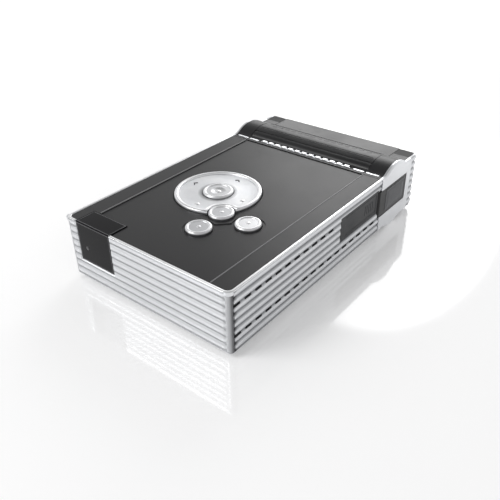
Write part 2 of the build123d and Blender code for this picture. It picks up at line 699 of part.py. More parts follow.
# ---- round pad ----
pad_top = panel_z + pad_rise
pad_dish = 0.55              # its face sinks this far towards the middle
pad_rim = 1.3
select_hole = select_radius + 0.25
pad_notch = key_radius + pad_gap
notch_place = key_places[0]
with BuildPart() as nav_pad:
    with BuildSketch(Plane.XZ):
        with BuildLine():
            Polyline((select_hole, pad_low), (pad_radius, pad_low), (pad_radius, pad_top - 0.5))
            ThreePointArc((pad_radius, pad_top - 0.5), (pad_radius - 0.25, pad_top - 0.12),
                          (pad_radius - pad_rim / 2, pad_top))
            Line((pad_radius - pad_rim / 2, pad_top), (pad_radius - pad_rim, pad_top - 0.3))
            ThreePointArc((pad_radius - pad_rim, pad_top - 0.3), (0.55 * pad_radius, pad_top - pad_dish),
                          (select_hole, pad_top - 0.45))
            Line((select_hole, pad_top - 0.45), (select_hole, pad_low))
        make_face()
    revolve(axis=Axis.Z)
nav_disc = Location((pad_x, pad_y, 0)) * nav_pad.part
with BuildPart() as nav_ring:
    add(nav_disc)
    with BuildSketch(Plane.XY.offset(gimbal_z - gimbal_height / 2 - 0.2)):
        with Locations((pad_x, pad_y)):
            Circle(skirt_outer)
            Circle(skirt_inner, mode=Mode.SUBTRACT)
    extrude(amount=pad_low - gimbal_z + gimbal_height / 2 + 0.3)
    with Locations(Plane((pad_x, pad_y, gimbal_z), z_dir=tilt_axis)):
        Cylinder(gimbal_pin + run_gap, 2 * skirt_outer + 1, mode=Mode.SUBTRACT)
    rod((*notch_place, 0), (0, 0, 1), pad_notch, big, Mode.SUBTRACT)
finish(nav_ring, "nav_ring")

# ---- select key in the middle of the pad ----
select_top = panel_z + pad_rise + 0.1
flange_low = pad_low - 1.4
stem_low = key_board_top + switch_height + switch_button + key_travel + part_gap
with BuildPart() as select_key:
    rod((pad_x, pad_y, flange_low), (0, 0, 1), post_bore - part_gap, 0.9)
    rod((pad_x, pad_y, flange_low), (0, 0, 1), select_radius, select_top - flange_low)
    top_edge = select_key.edges().filter_by(GeomType.CIRCLE).group_by(Axis.Z)[-1]
    fillet(top_edge, 0.45)
    with Locations((pad_x, pad_y, select_top + 11.6)):
        Sphere(12.0, mode=Mode.SUBTRACT)
    rod((pad_x, pad_y, stem_low), (0, 0, 1), 1.4, flange_low + 0.5 - stem_low)
finish(select_key, "select_key")

# ---- three small keys ----
key_flange = 0.8
key_flange_width = 0.8
key_top = panel_z + key_rise
key_flange_low = cover_low - part_gap - key_flange


def small_key(place):
    # A domed round key: flange under the cover, body through it and a stem to its switch.
    with BuildPart() as key:
        rod((*place, key_flange_low), (0, 0, 1), key_radius + key_flange_width, key_flange)
        rod((pad_x, pad_y, 0), (0, 0, 1), pad_radius + pad_gap + part_gap, big, Mode.SUBTRACT)
        rod((*place, key_flange_low), (0, 0, 1), key_radius, key_top - key_flange_low)
        rim_edge = key.edges().filter_by(GeomType.CIRCLE).group_by(Axis.Z)[-1]
        fillet(rim_edge, 0.5)
        rod((*place, stem_low), (0, 0, 1), 1.4, cover_low - stem_low)
    return key


middle_key = small_key(key_places[0])
finish(middle_key, "middle_key")
left_key = small_key(key_places[1])
finish(left_key, "left_key")
right_key = small_key(key_places[2])
finish(right_key, "right_key")

# ---- side port cover ----
with BuildPart() as port_cover:
    block((port_x - port_cover_thickness, port_x), (port_pin_y, port_rear_y),
          (port_low + part_gap, port_high - part_gap))
    rod((port_pin_x, port_pin_y, port_low + part_gap), (0, 0, 1), port_cover_thickness / 2,
        port_high - port_low - 2 * part_gap)
    rod((port_pin_x, port_pin_y, 0), (0, 0, 1), port_pin_radius + run_gap, big, Mode.SUBTRACT)
    # faint bevel inside its edges
    with BuildSketch(Plane.YZ.offset(port_x - 0.15)):
        with Locations(((port_pin_y + port_rear_y) / 2 + 0.8, (port_low + port_high) / 2)):
            Rectangle(port_rear_y - port_pin_y - 4.4, port_high - port_low - 2.4)
    extrude(amount=1, taper=-30, mode=Mode.SUBTRACT)
finish(port_cover, "port_cover")

with BuildPart() as port_pin:
    rod((port_pin_x, port_pin_y, port_low - port_pin_reach + run_gap), (0, 0, 1), port_pin_radius,
        port_high - port_low + 2 * port_pin_reach - 2 * run_gap)
finish(port_pin, "port_pin")

# ---- drive module: body ----
module_x = rim_x
cavity_x = drive_width / 2 + sheet + 4 * part_gap + 0.1
cavity_top = board_z - 0.2
rear_wall = 1.5
module_rear_y = frame_y
upper_half = flap_half_width - 0.9
flap_gap = 0.2
knuckle_room = 0.45
room_low = hinge_z - knuckle_radius - knuckle_room
pocket_x = cheek_x - release_thickness - 1.85 - release_travel
release_front_y = seam_y - release_nose
release_rear_y = seam_y + release_reach
flange_over = 0.8
flange_y = (module_y + 1.0, release_rear_y + flange_over)
flange_z = (release_low - flange_over, release_high + flange_over)
strip_half = 23.6
strip_y = (module_y + 1.3, module_y + 2.7)
tab_edges = [(25.2, 30.2), (31.2, 37.2)]
spring_place = (barrel_y, release_centre + 3.4)
spring_bore = 1.7
spring_depth = 3.4
tray_screw_x = 12.0
tray_screw_radius = 1.0
tray_screw_head = 1.9
tray_screw_sink = 1.1
rear_foot = (20.0, 32.0, 5.0)    # from x, to x, and width along Y
post_x = (22.0, 29.0)            # posts of the port board
port_board_z = 10.6
port_board_thickness = 1.0
port_board_y = (drive_rear_y + 1.4, module_rear_y - rear_wall - 0.1)
tray_usb_x = 8.0
power_jack_x = -8.0
power_jack_size = (8.0, 6.0)     # wide and high
power_jack_bore = 1.8
ports_z = port_board_z + port_board_thickness

module_view = module_outline(module_rear_y)
with BuildPart() as module_body:
    add(extrude(placed(module_view, -module_x), amount=2 * module_x, mode=Mode.PRIVATE))
    # bay for the drive, open at the front
    block(both(cavity_x), (module_y - 1, module_rear_y - rear_wall), (bottom_high, cavity_top),
          Mode.SUBTRACT)
    block(both(upper_half), (module_y + plastic_wall, module_rear_y - rear_wall),
          (cavity_top - 1, room_low + 0.1), Mode.SUBTRACT)
    swung_cut(knuckle_radius + knuckle_room, flap_half_width + flap_gap, room_low, rear_y + 1)
    # seats for the tray and the port board
    block(both(cavity_x - 6), (barrel_y - 6, barrel_y + 3), (bottom_high - 0.1, tray_z))
    for side in (-1, 1):
        block((side * post_x[0], side * post_x[1]), (port_board_y[0], module_rear_y - rear_wall),
              (bottom_high - 0.1, port_board_z))
        # hinge pin hole
        rod((side * (flap_half_width - 1), hinge_y, hinge_z), (side, 0, 0), flap_pin_radius + run_gap, 6.1,
            Mode.SUBTRACT)
        # pocket for the flange of a release pad
        block((side * pocket_x, side * (module_x + 1)), (flange_y[0] - 0.2, flange_y[1] + 0.2),
              (flange_z[0] - 0.2, flange_z[1] + 0.2), Mode.SUBTRACT)
        block((side * (pocket_x + 1.0), side * (module_x + 1)), (module_y - 1, flange_y[0] + 0.1),
              (release_low - 0.2, release_high + 0.2), Mode.SUBTRACT)
        rod((side * (pocket_x + 0.1), *spring_place), (-side, 0, 0), spring_bore, spring_depth,
            Mode.SUBTRACT)
        # pockets for the rear feet
        block((side * rear_foot[0] - side * part_gap, side * rear_foot[1] + side * part_gap),
              (barrel_y - rear_foot[2] / 2 - part_gap, barrel_y + rear_foot[2] / 2 + part_gap),
              (0, foot_proud + 1.0), Mode.SUBTRACT)
        # recessed screw holes
        rod((side * tray_screw_x, barrel_y, 0), (0, 0, 1), tray_screw_radius + run_gap, 5, Mode.SUBTRACT)
        rod((side * tray_screw_x, barrel_y, 0), (0, 0, 1), tray_screw_head + part_gap,
            foot_proud + tray_screw_sink, Mode.SUBTRACT)
    # port mouths in the rear wall
    block((tray_usb_x - usb_size[0] / 2 - 0.2, tray_usb_x + usb_size[0] / 2 + 0.2),
          (module_rear_y - rear_wall - 0.1, module_rear_y + 1),
          (ports_z - 0.2, ports_z + usb_size[2] + 0.2), Mode.SUBTRACT)
    rod((power_jack_x, module_rear_y - rear_wall - 0.1, ports_z + power_jack_size[1] / 2), (0, 1, 0),
        power_jack_bore + 1.1, 4, Mode.SUBTRACT)
    # beds for the grip strip and the small inlays in front of the flap
    block(both(strip_half + part_gap), (strip_y[0] - part_gap, strip_y[1] + part_gap),
          (top_z - 0.6, top_z + 3), Mode.SUBTRACT)
    for side in (-1, 1):
        for edges in tab_edges:
            block((side * (edges[0] - part_gap), side * (edges[1] + part_gap)),
                  (strip_y[0] - part_gap, strip_y[0] + 1.0), (top_z - 0.6, top_z + 3), Mode.SUBTRACT)
finish(module_body, "module_body")

# ---- toothed grip strip and inlays ----
tooth_count = 13
tooth_pitch = 2 * strip_half / tooth_count
tooth_width = 2.3
with BuildPart() as grip_strip:
    block(both(strip_half), (strip_y[0], strip_y[0] + 0.6), (top_z - 0.6, top_z + 0.35))
    block(both(strip_half), strip_y, (top_z - 0.6, top_z - 0.1))
    with Locations((0, (strip_y[0] + strip_y[1]) / 2, top_z - 0.6)):
        with GridLocations(tooth_pitch, 1, tooth_count, 1):
            Box(tooth_width, strip_y[1] - strip_y[0], 1.2, align=(Align.CENTER, Align.CENTER, Align.MIN))
    for side in (-1, 1):
        for edges in tab_edges:
            block((side * edges[0], side * edges[1]), (strip_y[0], strip_y[0] + 0.9),
                  (top_z - 0.6, top_z + 0.25))
finish(grip_strip, "grip_strip")

# ---- cheeks ----
def cheek(side):
    # A plate with the module's side view, bevelled outside, and cut away for the release pad.
    with BuildPart() as shell:
        extrude(to_extrude=placed(module_view, rim_x), amount=cheek_x - rim_x)
        outer = shell.faces().sort_by(Axis.X)[-1]
        chamfer(outer.edges().filter_by(Axis.Z, reverse=True), cheek_bevel)
        block((0, big), (module_y - 1, release_rear_y + seam_gap),
              (release_low - seam_gap, release_high + seam_gap), Mode.SUBTRACT)
    return shell.part if side > 0 else mirror(shell.part, about=Plane.YZ)


with BuildPart() as right_cheek:
    add(cheek(1))
finish(right_cheek, "right_cheek")

with BuildPart() as left_cheek:
    add(cheek(-1))
finish(left_cheek, "left_cheek")

# ---- release pads with their springs ----
pad_outer_x = cheek_x + 0.05
pad_inner_x = pad_outer_x - release_thickness
pad_flange_x = (pocket_x + release_travel + part_gap, rim_x - run_gap)
nose_radius = 1.3


def release_pad(side):
    with BuildPart() as pad:
        block((pad_inner_x, pad_outer_x), (release_front_y, release_rear_y), (release_low, release_high))
        nose = pad.edges().filter_by(Axis.Z).sort_by(lambda e: e.center().Y - e.center().X)[0]
        fillet(nose, nose_radius)
        outer = pad.faces().sort_by(Axis.X)[-1]
        chamfer(outer.edges().sort_by(Axis.Y)[-1], 0.3)
        block(pad_flange_x, flange_y, flange_z)
        block((pad_flange_x[0], pad_inner_x + 0.1), (flange_y[0] + 0.3, release_rear_y),
              (release_low, release_high))
    return pad.part if side > 0 else mirror(pad.part, about=Plane.YZ)


spring_wire = 0.3
spring_radius = 1.15
spring_turns = 5
spring_length = spring_depth - 0.1 - spring_wire


def release_spring(side):
    # A coil spring between the pad's flange and the bottom of its bore.
    with BuildPart() as spring:
        with BuildLine() as coil:
            Helix(pitch=spring_length / spring_turns, height=spring_length, radius=spring_radius,
                  center=(pad_flange_x[0] - spring_wire / 2, *spring_place), direction=(-1, 0, 0))
        with BuildSketch(Plane(origin=coil.line @ 0, z_dir=coil.line % 0)):
            Circle(spring_wire / 2)
        sweep(is_frenet=True)
    return spring.part if side > 0 else mirror(spring.part, about=Plane.YZ)


for side, word in ((1, "right"), (-1, "left")):
    with BuildPart() as release:
        add(release_pad(side))
    finish(release, f"{word}_release")
    with BuildPart() as coil_spring:
        add(release_spring(side))
    finish(coil_spring, f"{word}_spring")

# ---- rear feet and tray screws ----
with BuildPart() as rear_feet:
    for side in (-1, 1):
        block((side * rear_foot[0], side * rear_foot[1]),
              (barrel_y - rear_foot[2] / 2, barrel_y + rear_foot[2] / 2), (0, foot_proud + 1.0))
    fillet(rear_feet.edges().filter_by(Axis.Z), 1.2)
finish(rear_feet, "rear_feet")

with BuildPart() as tray_screws:
    for side in (-1, 1):
        rod((side * tray_screw_x, barrel_y, foot_proud + 0.3), (0, 0, 1), tray_screw_head,
            tray_screw_sink - 0.3)
        rod((side * tray_screw_x, barrel_y, foot_proud + 0.3), (0, 0, 1), tray_screw_radius,
            tray_z + sheet - foot_proud - 0.3)
finish(tray_screws, "tray_screws")

# ---- ribbed rear frame ----
with BuildPart() as rear_frame:
    with BuildSketch(Plane.XY.offset(base_z)) as block_outline:
        with Locations((0, (frame_y + rear_y - rib_depth) / 2)):
            Rectangle(2 * groove_x, rear_y - rib_depth - frame_y)
        fillet(block_outline.vertices().group_by(Axis.Y)[-1], rim_corner_radius)
    extrude(amount=body_height)
    with Locations([Location((0, rear_y, z), (0, 0, 180)) for z in rib_heights]):
        add(rounded_rib(body_width - 2 * rib_end_inset))
    with Locations([Location((side * half_width, (frame_y + rear_y) / 2 - 0.4, z), (0, 0, 90 * side))
                    for side in (-1, 1) for z in rib_heights]):
        add(rounded_rib(module_end - 1.6))
    block(both(flap_half_width + flap_gap), (frame_y - 1, rear_y + 1),
          (flap_low - flap_gap, top_z + 1), Mode.SUBTRACT)
finish(rear_frame, "rear_frame")

# ---- hinged flap over the rear ports ----
trim_thickness = 1.3
trim_high = top_z - 1.7
flap_rear_y = rear_y - rib_depth - trim_thickness
end_wall = 1.2
end_wall_depth = 4.4
flap_outline = module_outline(rear_y)


def flap_view(depth):
    # Side view of the flap: the outline's skin behind its hinge, and the knuckle.
    with BuildSketch() as view:
        add(flap_outline)
        offset(flap_outline, amount=-depth, mode=Mode.SUBTRACT)
        with Locations((hinge_y, flap_low)):
            Rectangle(big, big, align=(Align.MIN, Align.MIN), mode=Mode.INTERSECT)
        # the silver trim is let into the rear face
        with Locations((rear_y - rib_depth - trim_thickness, trim_high)):
            Rectangle(big, big, align=(Align.MIN, Align.MAX), mode=Mode.SUBTRACT)
        with Locations((rear_y - rib_depth - trim_thickness, flap_low)):
            Rectangle(plastic_wall, trim_high - flap_low + 0.5, align=(Align.MAX, Align.MIN))
        with Locations((hinge_y, hinge_z)):
            Circle(knuckle_radius)
            Circle(flap_pin_radius + run_gap, mode=Mode.SUBTRACT)
    return view.sketch


with BuildPart() as rear_flap:
    extrude(to_extrude=placed(flap_view(plastic_wall), -flap_half_width), amount=2 * flap_half_width)
    for start in (-flap_half_width, flap_half_width - end_wall):
        extrude(to_extrude=placed(flap_view(end_wall_depth), start), amount=end_wall)
finish(rear_flap, "rear_flap")

with BuildPart() as flap_trim:
    with Locations((0, rear_y - rib_depth - trim_thickness / 2, (flap_low + trim_high) / 2)):
        Box(2 * flap_half_width, trim_thickness, trim_high - flap_low)
    with Locations([Location((0, rear_y, z), (0, 0, 180)) for z in rib_heights[1:5]]):
        add(rounded_rib(2 * flap_half_width - 1.0))
finish(flap_trim, "flap_trim")

with BuildPart() as flap_pin:
    rod((-flap_half_width - 5.0, hinge_y, hinge_z), (1, 0, 0), flap_pin_radius, 2 * flap_half_width + 10.0)
finish(flap_pin, "flap_pin")

# ---- sheet-metal tray ----
tray_half = drive_width / 2 + part_gap + sheet
tray_front_y = board_front_y + 1.1
tray_rear_y = drive_rear_y + 0.5
wing_x = inner_x - 0.8
wing_top = board_z - runner_lip - part_gap
tray_bosses = [(side * drive_screw_span / 2, drive_front_y + place) for side in (-1, 1)
               for place in drive_screw_places]
drive_screw_radius = 1.5
drive_screw_head = 2.5
with BuildPart() as tray_frame:
    block(both(tray_half), (tray_front_y, tray_rear_y), (tray_z, tray_z + sheet))
    for side in (-1, 1):
        block((side * (tray_half - sheet), side * tray_half), (tray_front_y, tray_rear_y),
              (tray_z, wing_top))
        block((side * (tray_half - sheet), side * wing_x), (tray_front_y, seam_y - 1.0),
              (wing_top - sheet, wing_top))
    # window in the floor below the drive
    with BuildSketch(Plane.XY.offset(tray_z - 1)):
        with Locations((0, drive_front_y + 52)):
            Rectangle(44, 50)
            Rectangle(14, 60, mode=Mode.SUBTRACT)
    extrude(amount=5, mode=Mode.SUBTRACT)
    with Locations([(*place, tray_z + sheet) for place in tray_bosses]):
        Cylinder(3.2, tray_boss, align=(Align.CENTER, Align.CENTER, Align.MIN))
    for place in tray_bosses:
        rod((*place, tray_z - 1), (0, 0, 1), drive_screw_radius + run_gap, 5, Mode.SUBTRACT)
        with Locations(Plane((*place, tray_z), z_dir=(0, 0, -1))):
            CounterSinkHole(drive_screw_radius + run_gap, drive_screw_head + run_gap, depth=3)
    for side in (-1, 1):
        rod((side * tray_screw_x, barrel_y, tray_z - 1), (0, 0, 1), tray_screw_radius + run_gap, 4,
            Mode.SUBTRACT)
finish(tray_frame, "tray_frame")

with BuildPart() as drive_screws:
    for place in tray_bosses:
        rod((*place, tray_z), (0, 0, 1), drive_screw_radius, sheet + tray_boss + 2.6)
        with Locations((*place, tray_z)):
            Cone(drive_screw_head, drive_screw_radius, drive_screw_head - drive_screw_radius,
                 align=(Align.CENTER, Align.CENTER, Align.MIN))
finish(drive_screws, "drive_screws")

# ---- hard drive ----
cover_plate = 0.8
logic_pocket = (52.0, 84.0, 1.9)     # wide, long and deep
logic_middle_y = drive_front_y + 52.0
with BuildPart() as drive_base:
    block(both(drive_width / 2), (drive_front_y, drive_rear_y), (drive_z, drive_top - cover_plate))
    fillet(drive_base.edges().filter_by(Axis.Z), 1.5)
    with Locations((0, logic_middle_y, drive_z)):
        Box(logic_pocket[0], logic_pocket[1], 2 * logic_pocket[2], mode=Mode.SUBTRACT)
    block(both(24.5), (drive_front_y - 1, drive_front_y + 5.5), (drive_z, drive_z + 4.6), Mode.SUBTRACT)
    for place in tray_bosses:
        rod((*place, drive_z - 1), (0, 0, 1), drive_screw_radius + run_gap, 4.0, Mode.SUBTRACT)
finish(drive_base, "drive_base")

recess_radius = drive_width / 2 - 8.0        # round recess over the discs
recess_place = (6.5, drive_rear_y - recess_radius - 11.0)
with BuildPart() as drive_cover:
    block(both(drive_width / 2 - 0.4), (drive_front_y + 2, drive_rear_y - 0.4),
          (drive_top - cover_plate, drive_top))
    fillet(drive_cover.edges().filter_by(Axis.Z), 2.5)
    with Locations((*recess_place, drive_top)):
        Cylinder(recess_radius, 0.5, mode=Mode.SUBTRACT)
    with Locations((*recess_place, drive_top - cover_plate)):
        Cylinder(recess_radius - 3.0, cover_plate, align=(Align.CENTER, Align.CENTER, Align.MIN))
    with Locations([(x, y, drive_top) for x in both(drive_width / 2 - 3.6)
                    for y in (drive_front_y + 5.4, logic_middle_y, drive_rear_y - 4)]):
        Cylinder(1.5, 0.6, mode=Mode.SUBTRACT)
finish(drive_cover, "drive_cover")

with BuildPart() as drive_board:
    with Locations((0, logic_middle_y, drive_z + logic_pocket[2] - 0.5)):
        Box(logic_pocket[0] - 0.8, logic_pocket[1] - 0.8, 1.0)
    with Locations((4, logic_middle_y, drive_z + 0.1), (-12, logic_middle_y + 24, drive_z + 0.1)):
        Box(14, 14, 1.0, align=(Align.CENTER, Align.CENTER, Align.MIN))
finish(drive_board, "drive_board")

pin_pitch = 2.0
pin_columns = 22
with BuildPart() as drive_pins:
    block(both(24.2), (drive_front_y + 2.4, drive_front_y + 5.4), (drive_z + 0.2, drive_z + 4.5))
    with Locations((0, drive_front_y + 2.5, drive_z + 2.4)):
        with GridLocations(pin_pitch, 1, pin_columns, 1):
            with Locations((0, 0, -pin_pitch / 2), (0, 0, pin_pitch / 2)):
                Box(0.5, 4.2, 0.5, align=(Align.CENTER, Align.MAX, Align.CENTER))
finish(drive_pins, "drive_pins")

# ---- dock board at the front of the tray ----
dock_board_y = (drive_front_y - 3.4, drive_front_y - 2.4)
with BuildPart() as dock_board:
    block(both(30.0), dock_board_y, (tray_z + sheet, drive_top - 1.0))
finish(dock_board, "dock_board")

dock_tongue_half = dock_half - 2
with BuildPart() as dock_plugs:
    block(both(23.4), (dock_board_y[1], drive_front_y + 0.4), (drive_z + 0.4, drive_z + 4.4))
    with Locations((0, drive_front_y + 0.5, drive_z + 2.4)):
        with GridLocations(pin_pitch, 1, pin_columns, 1):
            with Locations((0, 0, -pin_pitch / 2), (0, 0, pin_pitch / 2)):
                Box(0.6, 2.6, 0.6, align=(Align.CENTER, Align.MAX, Align.CENTER), mode=Mode.SUBTRACT)
    # the plug that meets the dock socket, on the front of the board
    block(both(dock_half - 1), (dock_y[1] + 0.3, dock_board_y[0]), (dock_tongue_z - 2, dock_tongue_z + 2))
    block(both(dock_tongue_half), (dock_y[1] - dock_entry, dock_board_y[0]),
          (dock_tongue_z - dock_tongue / 2, dock_tongue_z + dock_tongue / 2))
finish(dock_plugs, "dock_plugs")

# ---- port board at the rear of the tray ----
with BuildPart() as port_board:
    block(both(post_x[1] + 1), port_board_y, (port_board_z, ports_z))
finish(port_board, "port_board")

tray_usb_depth = module_rear_y - 0.3 - port_board_y[0] - 0.2
tray_usb_form = mini_socket(usb_size[0], usb_size[2], tray_usb_depth)
with BuildPart() as tray_usb:
    with Locations(Location((tray_usb_x, module_rear_y - 0.3, ports_z), (0, 0, 180))):
        add(tray_usb_form)
finish(tray_usb, "tray_usb")

with BuildPart() as power_jack:
    block((power_jack_x - power_jack_size[0] / 2, power_jack_x + power_jack_size[0] / 2),
          (port_board_y[0] + 0.2, module_rear_y - rear_wall - 0.1),
          (ports_z, ports_z + power_jack_size[1]))
    rod((power_jack_x, module_rear_y - rear_wall - 0.2, ports_z + power_jack_size[1] / 2), (0, 1, 0),
        power_jack_bore + 0.9, 1.5)
    rod((power_jack_x, port_board_y[0] + 1.2, ports_z + power_jack_size[1] / 2), (0, 1, 0),
        power_jack_bore, 20, Mode.SUBTRACT)
    rod((power_jack_x, port_board_y[0] + 1.0, ports_z + power_jack_size[1] / 2), (0, 1, 0), 0.6, 5.5)
finish(power_jack, "power_jack")

flex_thickness = 0.2
flex_x = (-6.0, 6.0)
with BuildPart() as port_flex:
    block(flex_x, (dock_board_y[1], drive_rear_y + 1.0 + flex_thickness),
          (tray_z + sheet, tray_z + sheet + flex_thickness))
    block(flex_x, (drive_rear_y + 1.0, drive_rear_y + 1.0 + flex_thickness),
          (tray_z + sheet, ports_z - 0.2))
finish(port_flex, "port_flex")
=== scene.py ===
import json
import math
import bmesh
import bpy
import numpy as np
from mathutils import Matrix, Vector

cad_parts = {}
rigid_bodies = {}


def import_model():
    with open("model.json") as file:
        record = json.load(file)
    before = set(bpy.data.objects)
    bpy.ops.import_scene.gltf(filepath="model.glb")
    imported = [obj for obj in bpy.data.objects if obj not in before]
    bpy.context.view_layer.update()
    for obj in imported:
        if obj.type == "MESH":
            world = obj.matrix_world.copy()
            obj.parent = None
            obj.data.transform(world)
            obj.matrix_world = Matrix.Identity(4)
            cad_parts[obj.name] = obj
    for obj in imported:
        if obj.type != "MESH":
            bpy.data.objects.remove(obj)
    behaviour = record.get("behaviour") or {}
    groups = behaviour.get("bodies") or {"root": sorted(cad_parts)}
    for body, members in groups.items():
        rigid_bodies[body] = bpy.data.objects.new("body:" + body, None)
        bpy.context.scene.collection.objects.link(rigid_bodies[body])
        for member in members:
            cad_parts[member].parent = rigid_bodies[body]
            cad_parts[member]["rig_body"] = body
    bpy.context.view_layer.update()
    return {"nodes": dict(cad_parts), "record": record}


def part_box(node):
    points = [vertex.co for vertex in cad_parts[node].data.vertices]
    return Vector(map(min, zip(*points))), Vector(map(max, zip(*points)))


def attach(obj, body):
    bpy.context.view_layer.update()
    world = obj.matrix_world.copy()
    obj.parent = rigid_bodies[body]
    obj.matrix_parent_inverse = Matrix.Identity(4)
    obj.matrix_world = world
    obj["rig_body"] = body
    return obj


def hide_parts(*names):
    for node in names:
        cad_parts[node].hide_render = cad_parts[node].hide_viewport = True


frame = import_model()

mm = 0.001
nodes = frame["nodes"]
bodyOf = {name: node["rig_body"] for name, node in nodes.items()}
slotOf = {row["node"]: row["material_slot"] for row in frame["record"]["subparts"]}
print("frame loaded,", len(nodes), "nodes")


def boxMm(nodeName):
    # low and high corner of a CAD node, in millimetres
    return [np.array(corner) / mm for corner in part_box(nodeName)]


caseLow, caseHigh = boxMm("front_panel")
coverLow, coverHigh = boxMm("top_cover")
paneLow, paneHigh = boxMm("ir_window")
padLow, padHigh = boxMm("nav_ring")
padMiddle = (padLow + padHigh)[:2] / 2
xAxis, yAxis, zAxis = (1, 0, 0), (0, 1, 0), (0, 0, 1)


# small helpers for shader trees; names of inputs are given with _ for a space
def addNode(tree, kind, settings=(), **values):
    node = tree.nodes.new(kind)
    for key, value in dict(settings).items():
        setattr(node, key, value)
    for key, value in values.items():
        node.inputs[key.replace("_", " ")].default_value = value
    return node


def feed(tree, source, socket):
    # a socket takes another socket or a plain value
    if isinstance(source, bpy.types.NodeSocket):
        tree.links.new(source, socket)
    else:
        socket.default_value = source


def mathNode(tree, operation, *sources):
    node = addNode(tree, "ShaderNodeMath", {"operation": operation})
    for source, socket in zip(sources, node.inputs):
        feed(tree, source, socket)
    return node.outputs[0]


def spread(tree, source, lowValue, highValue, fromLow=0.0, fromHigh=1.0, shape="LINEAR"):
    # source from fromLow to fromHigh becomes lowValue to highValue
    remap = addNode(tree, "ShaderNodeMapRange", {"interpolation_type": shape}, To_Min=lowValue,
                    To_Max=highValue)
    feed(tree, source, remap.inputs["Value"])
    feed(tree, fromLow, remap.inputs["From Min"])
    feed(tree, fromHigh, remap.inputs["From Max"])
    return remap.outputs["Result"]


noiseRange = (0.3, 0.7)                            # where a noise mostly stays


def noiseSpread(tree, noise, lowValue=0.0, highValue=1.0):
    return spread(tree, noise, lowValue, highValue, *noiseRange)


def mixColour(tree, factor, colourA, colourB):
    mix = addNode(tree, "ShaderNodeMix", {"data_type": "RGBA"})
    tree.links.new(factor, mix.inputs[0])
    for index, colour in ((6, colourA), (7, colourB)):
        isSocket = isinstance(colour, bpy.types.NodeSocket)
        feed(tree, colour if isSocket else (*colour, 1.0), mix.inputs[index])
    return mix.outputs[2]


def newGroup(name, inputs, outputs):
    # inputs are values by name, numbers or vectors; outputs are names of numbers
    group = bpy.data.node_groups.new(name, "ShaderNodeTree")
    for label, value in inputs.items():
        kind = "NodeSocketVector" if isinstance(value, tuple) else "NodeSocketFloat"
        group.interface.new_socket(label, in_out="INPUT", socket_type=kind).default_value = value
    for label in outputs:
        group.interface.new_socket(label, in_out="OUTPUT", socket_type="NodeSocketFloat")
    return group, group.nodes.new("NodeGroupInput").outputs, group.nodes.new("NodeGroupOutput").inputs


def placeGroup(tree, group, **values):
    node = tree.nodes.new("ShaderNodeGroup")
    node.node_tree = group
    for key, value in values.items():
        node.inputs[key.replace("_", " ")].default_value = value
    return node.outputs


def objectPlace(tree):
    return tree.nodes.new("ShaderNodeTexCoord").outputs["Object"]


def objectAxes(tree):
    axes = tree.nodes.new("ShaderNodeSeparateXYZ")
    tree.links.new(objectPlace(tree), axes.inputs[0])
    return axes.outputs


# shader groups
def makeGrainGroup():
    # fine blasted or moulded grain: a height for bump, and a slow tone that varies roughness
    group, given, made = newGroup("surfaceGrain", {"Size": 0.0003, "Patch Size": 0.02}, ("Height", "Tone"))
    place = objectPlace(group)
    for size, label, detail, roughness in (("Size", "Height", 3.0, 0.6), ("Patch Size", "Tone", 2.0, 0.5)):
        noise = addNode(group, "ShaderNodeTexNoise", Detail=detail, Roughness=roughness)
        group.links.new(place, noise.inputs["Vector"])
        group.links.new(mathNode(group, "DIVIDE", 1.0, given[size]), noise.inputs["Scale"])
        group.links.new(noise.outputs["Fac"], made[label])
    return group


def makeBrushGroup():
    # brush lines: noise stretched along one axis
    group, given, made = newGroup("brushLines", {"Stretch": (1.0, 60.0, 60.0)}, ("Lines",))
    scale = addNode(group, "ShaderNodeVectorMath", {"operation": "MULTIPLY"})
    group.links.new(objectPlace(group), scale.inputs[0])
    group.links.new(given["Stretch"], scale.inputs[1])
    noise = addNode(group, "ShaderNodeTexNoise", Scale=100.0, Detail=4.0, Roughness=0.7)
    group.links.new(scale.outputs[0], noise.inputs["Vector"])
    group.links.new(noise.outputs["Fac"], made["Lines"])
    return group


def makeScuffGroup():
    # faint handling marks: where a slow and a fine noise are both high, as a mask
    group, given, made = newGroup("handlingMarks", {"Amount": 0.3}, ("Mask",))
    place = objectPlace(group)
    slow = addNode(group, "ShaderNodeTexNoise", Scale=90.0, Detail=2.0)
    fine = addNode(group, "ShaderNodeTexNoise", Scale=420.0, Detail=5.0, Roughness=0.75)
    for noise in (slow, fine):
        group.links.new(place, noise.inputs["Vector"])
    ramp = group.nodes.new("ShaderNodeValToRGB")
    faint, full = ramp.color_ramp.elements
    faint.position, full.position = 0.27, 0.42
    group.links.new(mathNode(group, "MULTIPLY", slow.outputs["Fac"], fine.outputs["Fac"]), ramp.inputs["Fac"])
    group.links.new(mathNode(group, "MULTIPLY", ramp.outputs["Color"], given["Amount"]), made["Mask"])
    return group


# painted shade in the grooves between the ribs, on the corner posts and at the ends of the side grooves, in
# millimetres of the object
groove = {"pitch": 3.05, "first": 2.75, "postX": 37.75, "postY": 62.85, "postFade": (63.3, 64.5),
          "postShade": (0.92, 0.38), "postTop": 25.55, "deepEnd": (-62.6, -60.6), "sideX": 38.6}


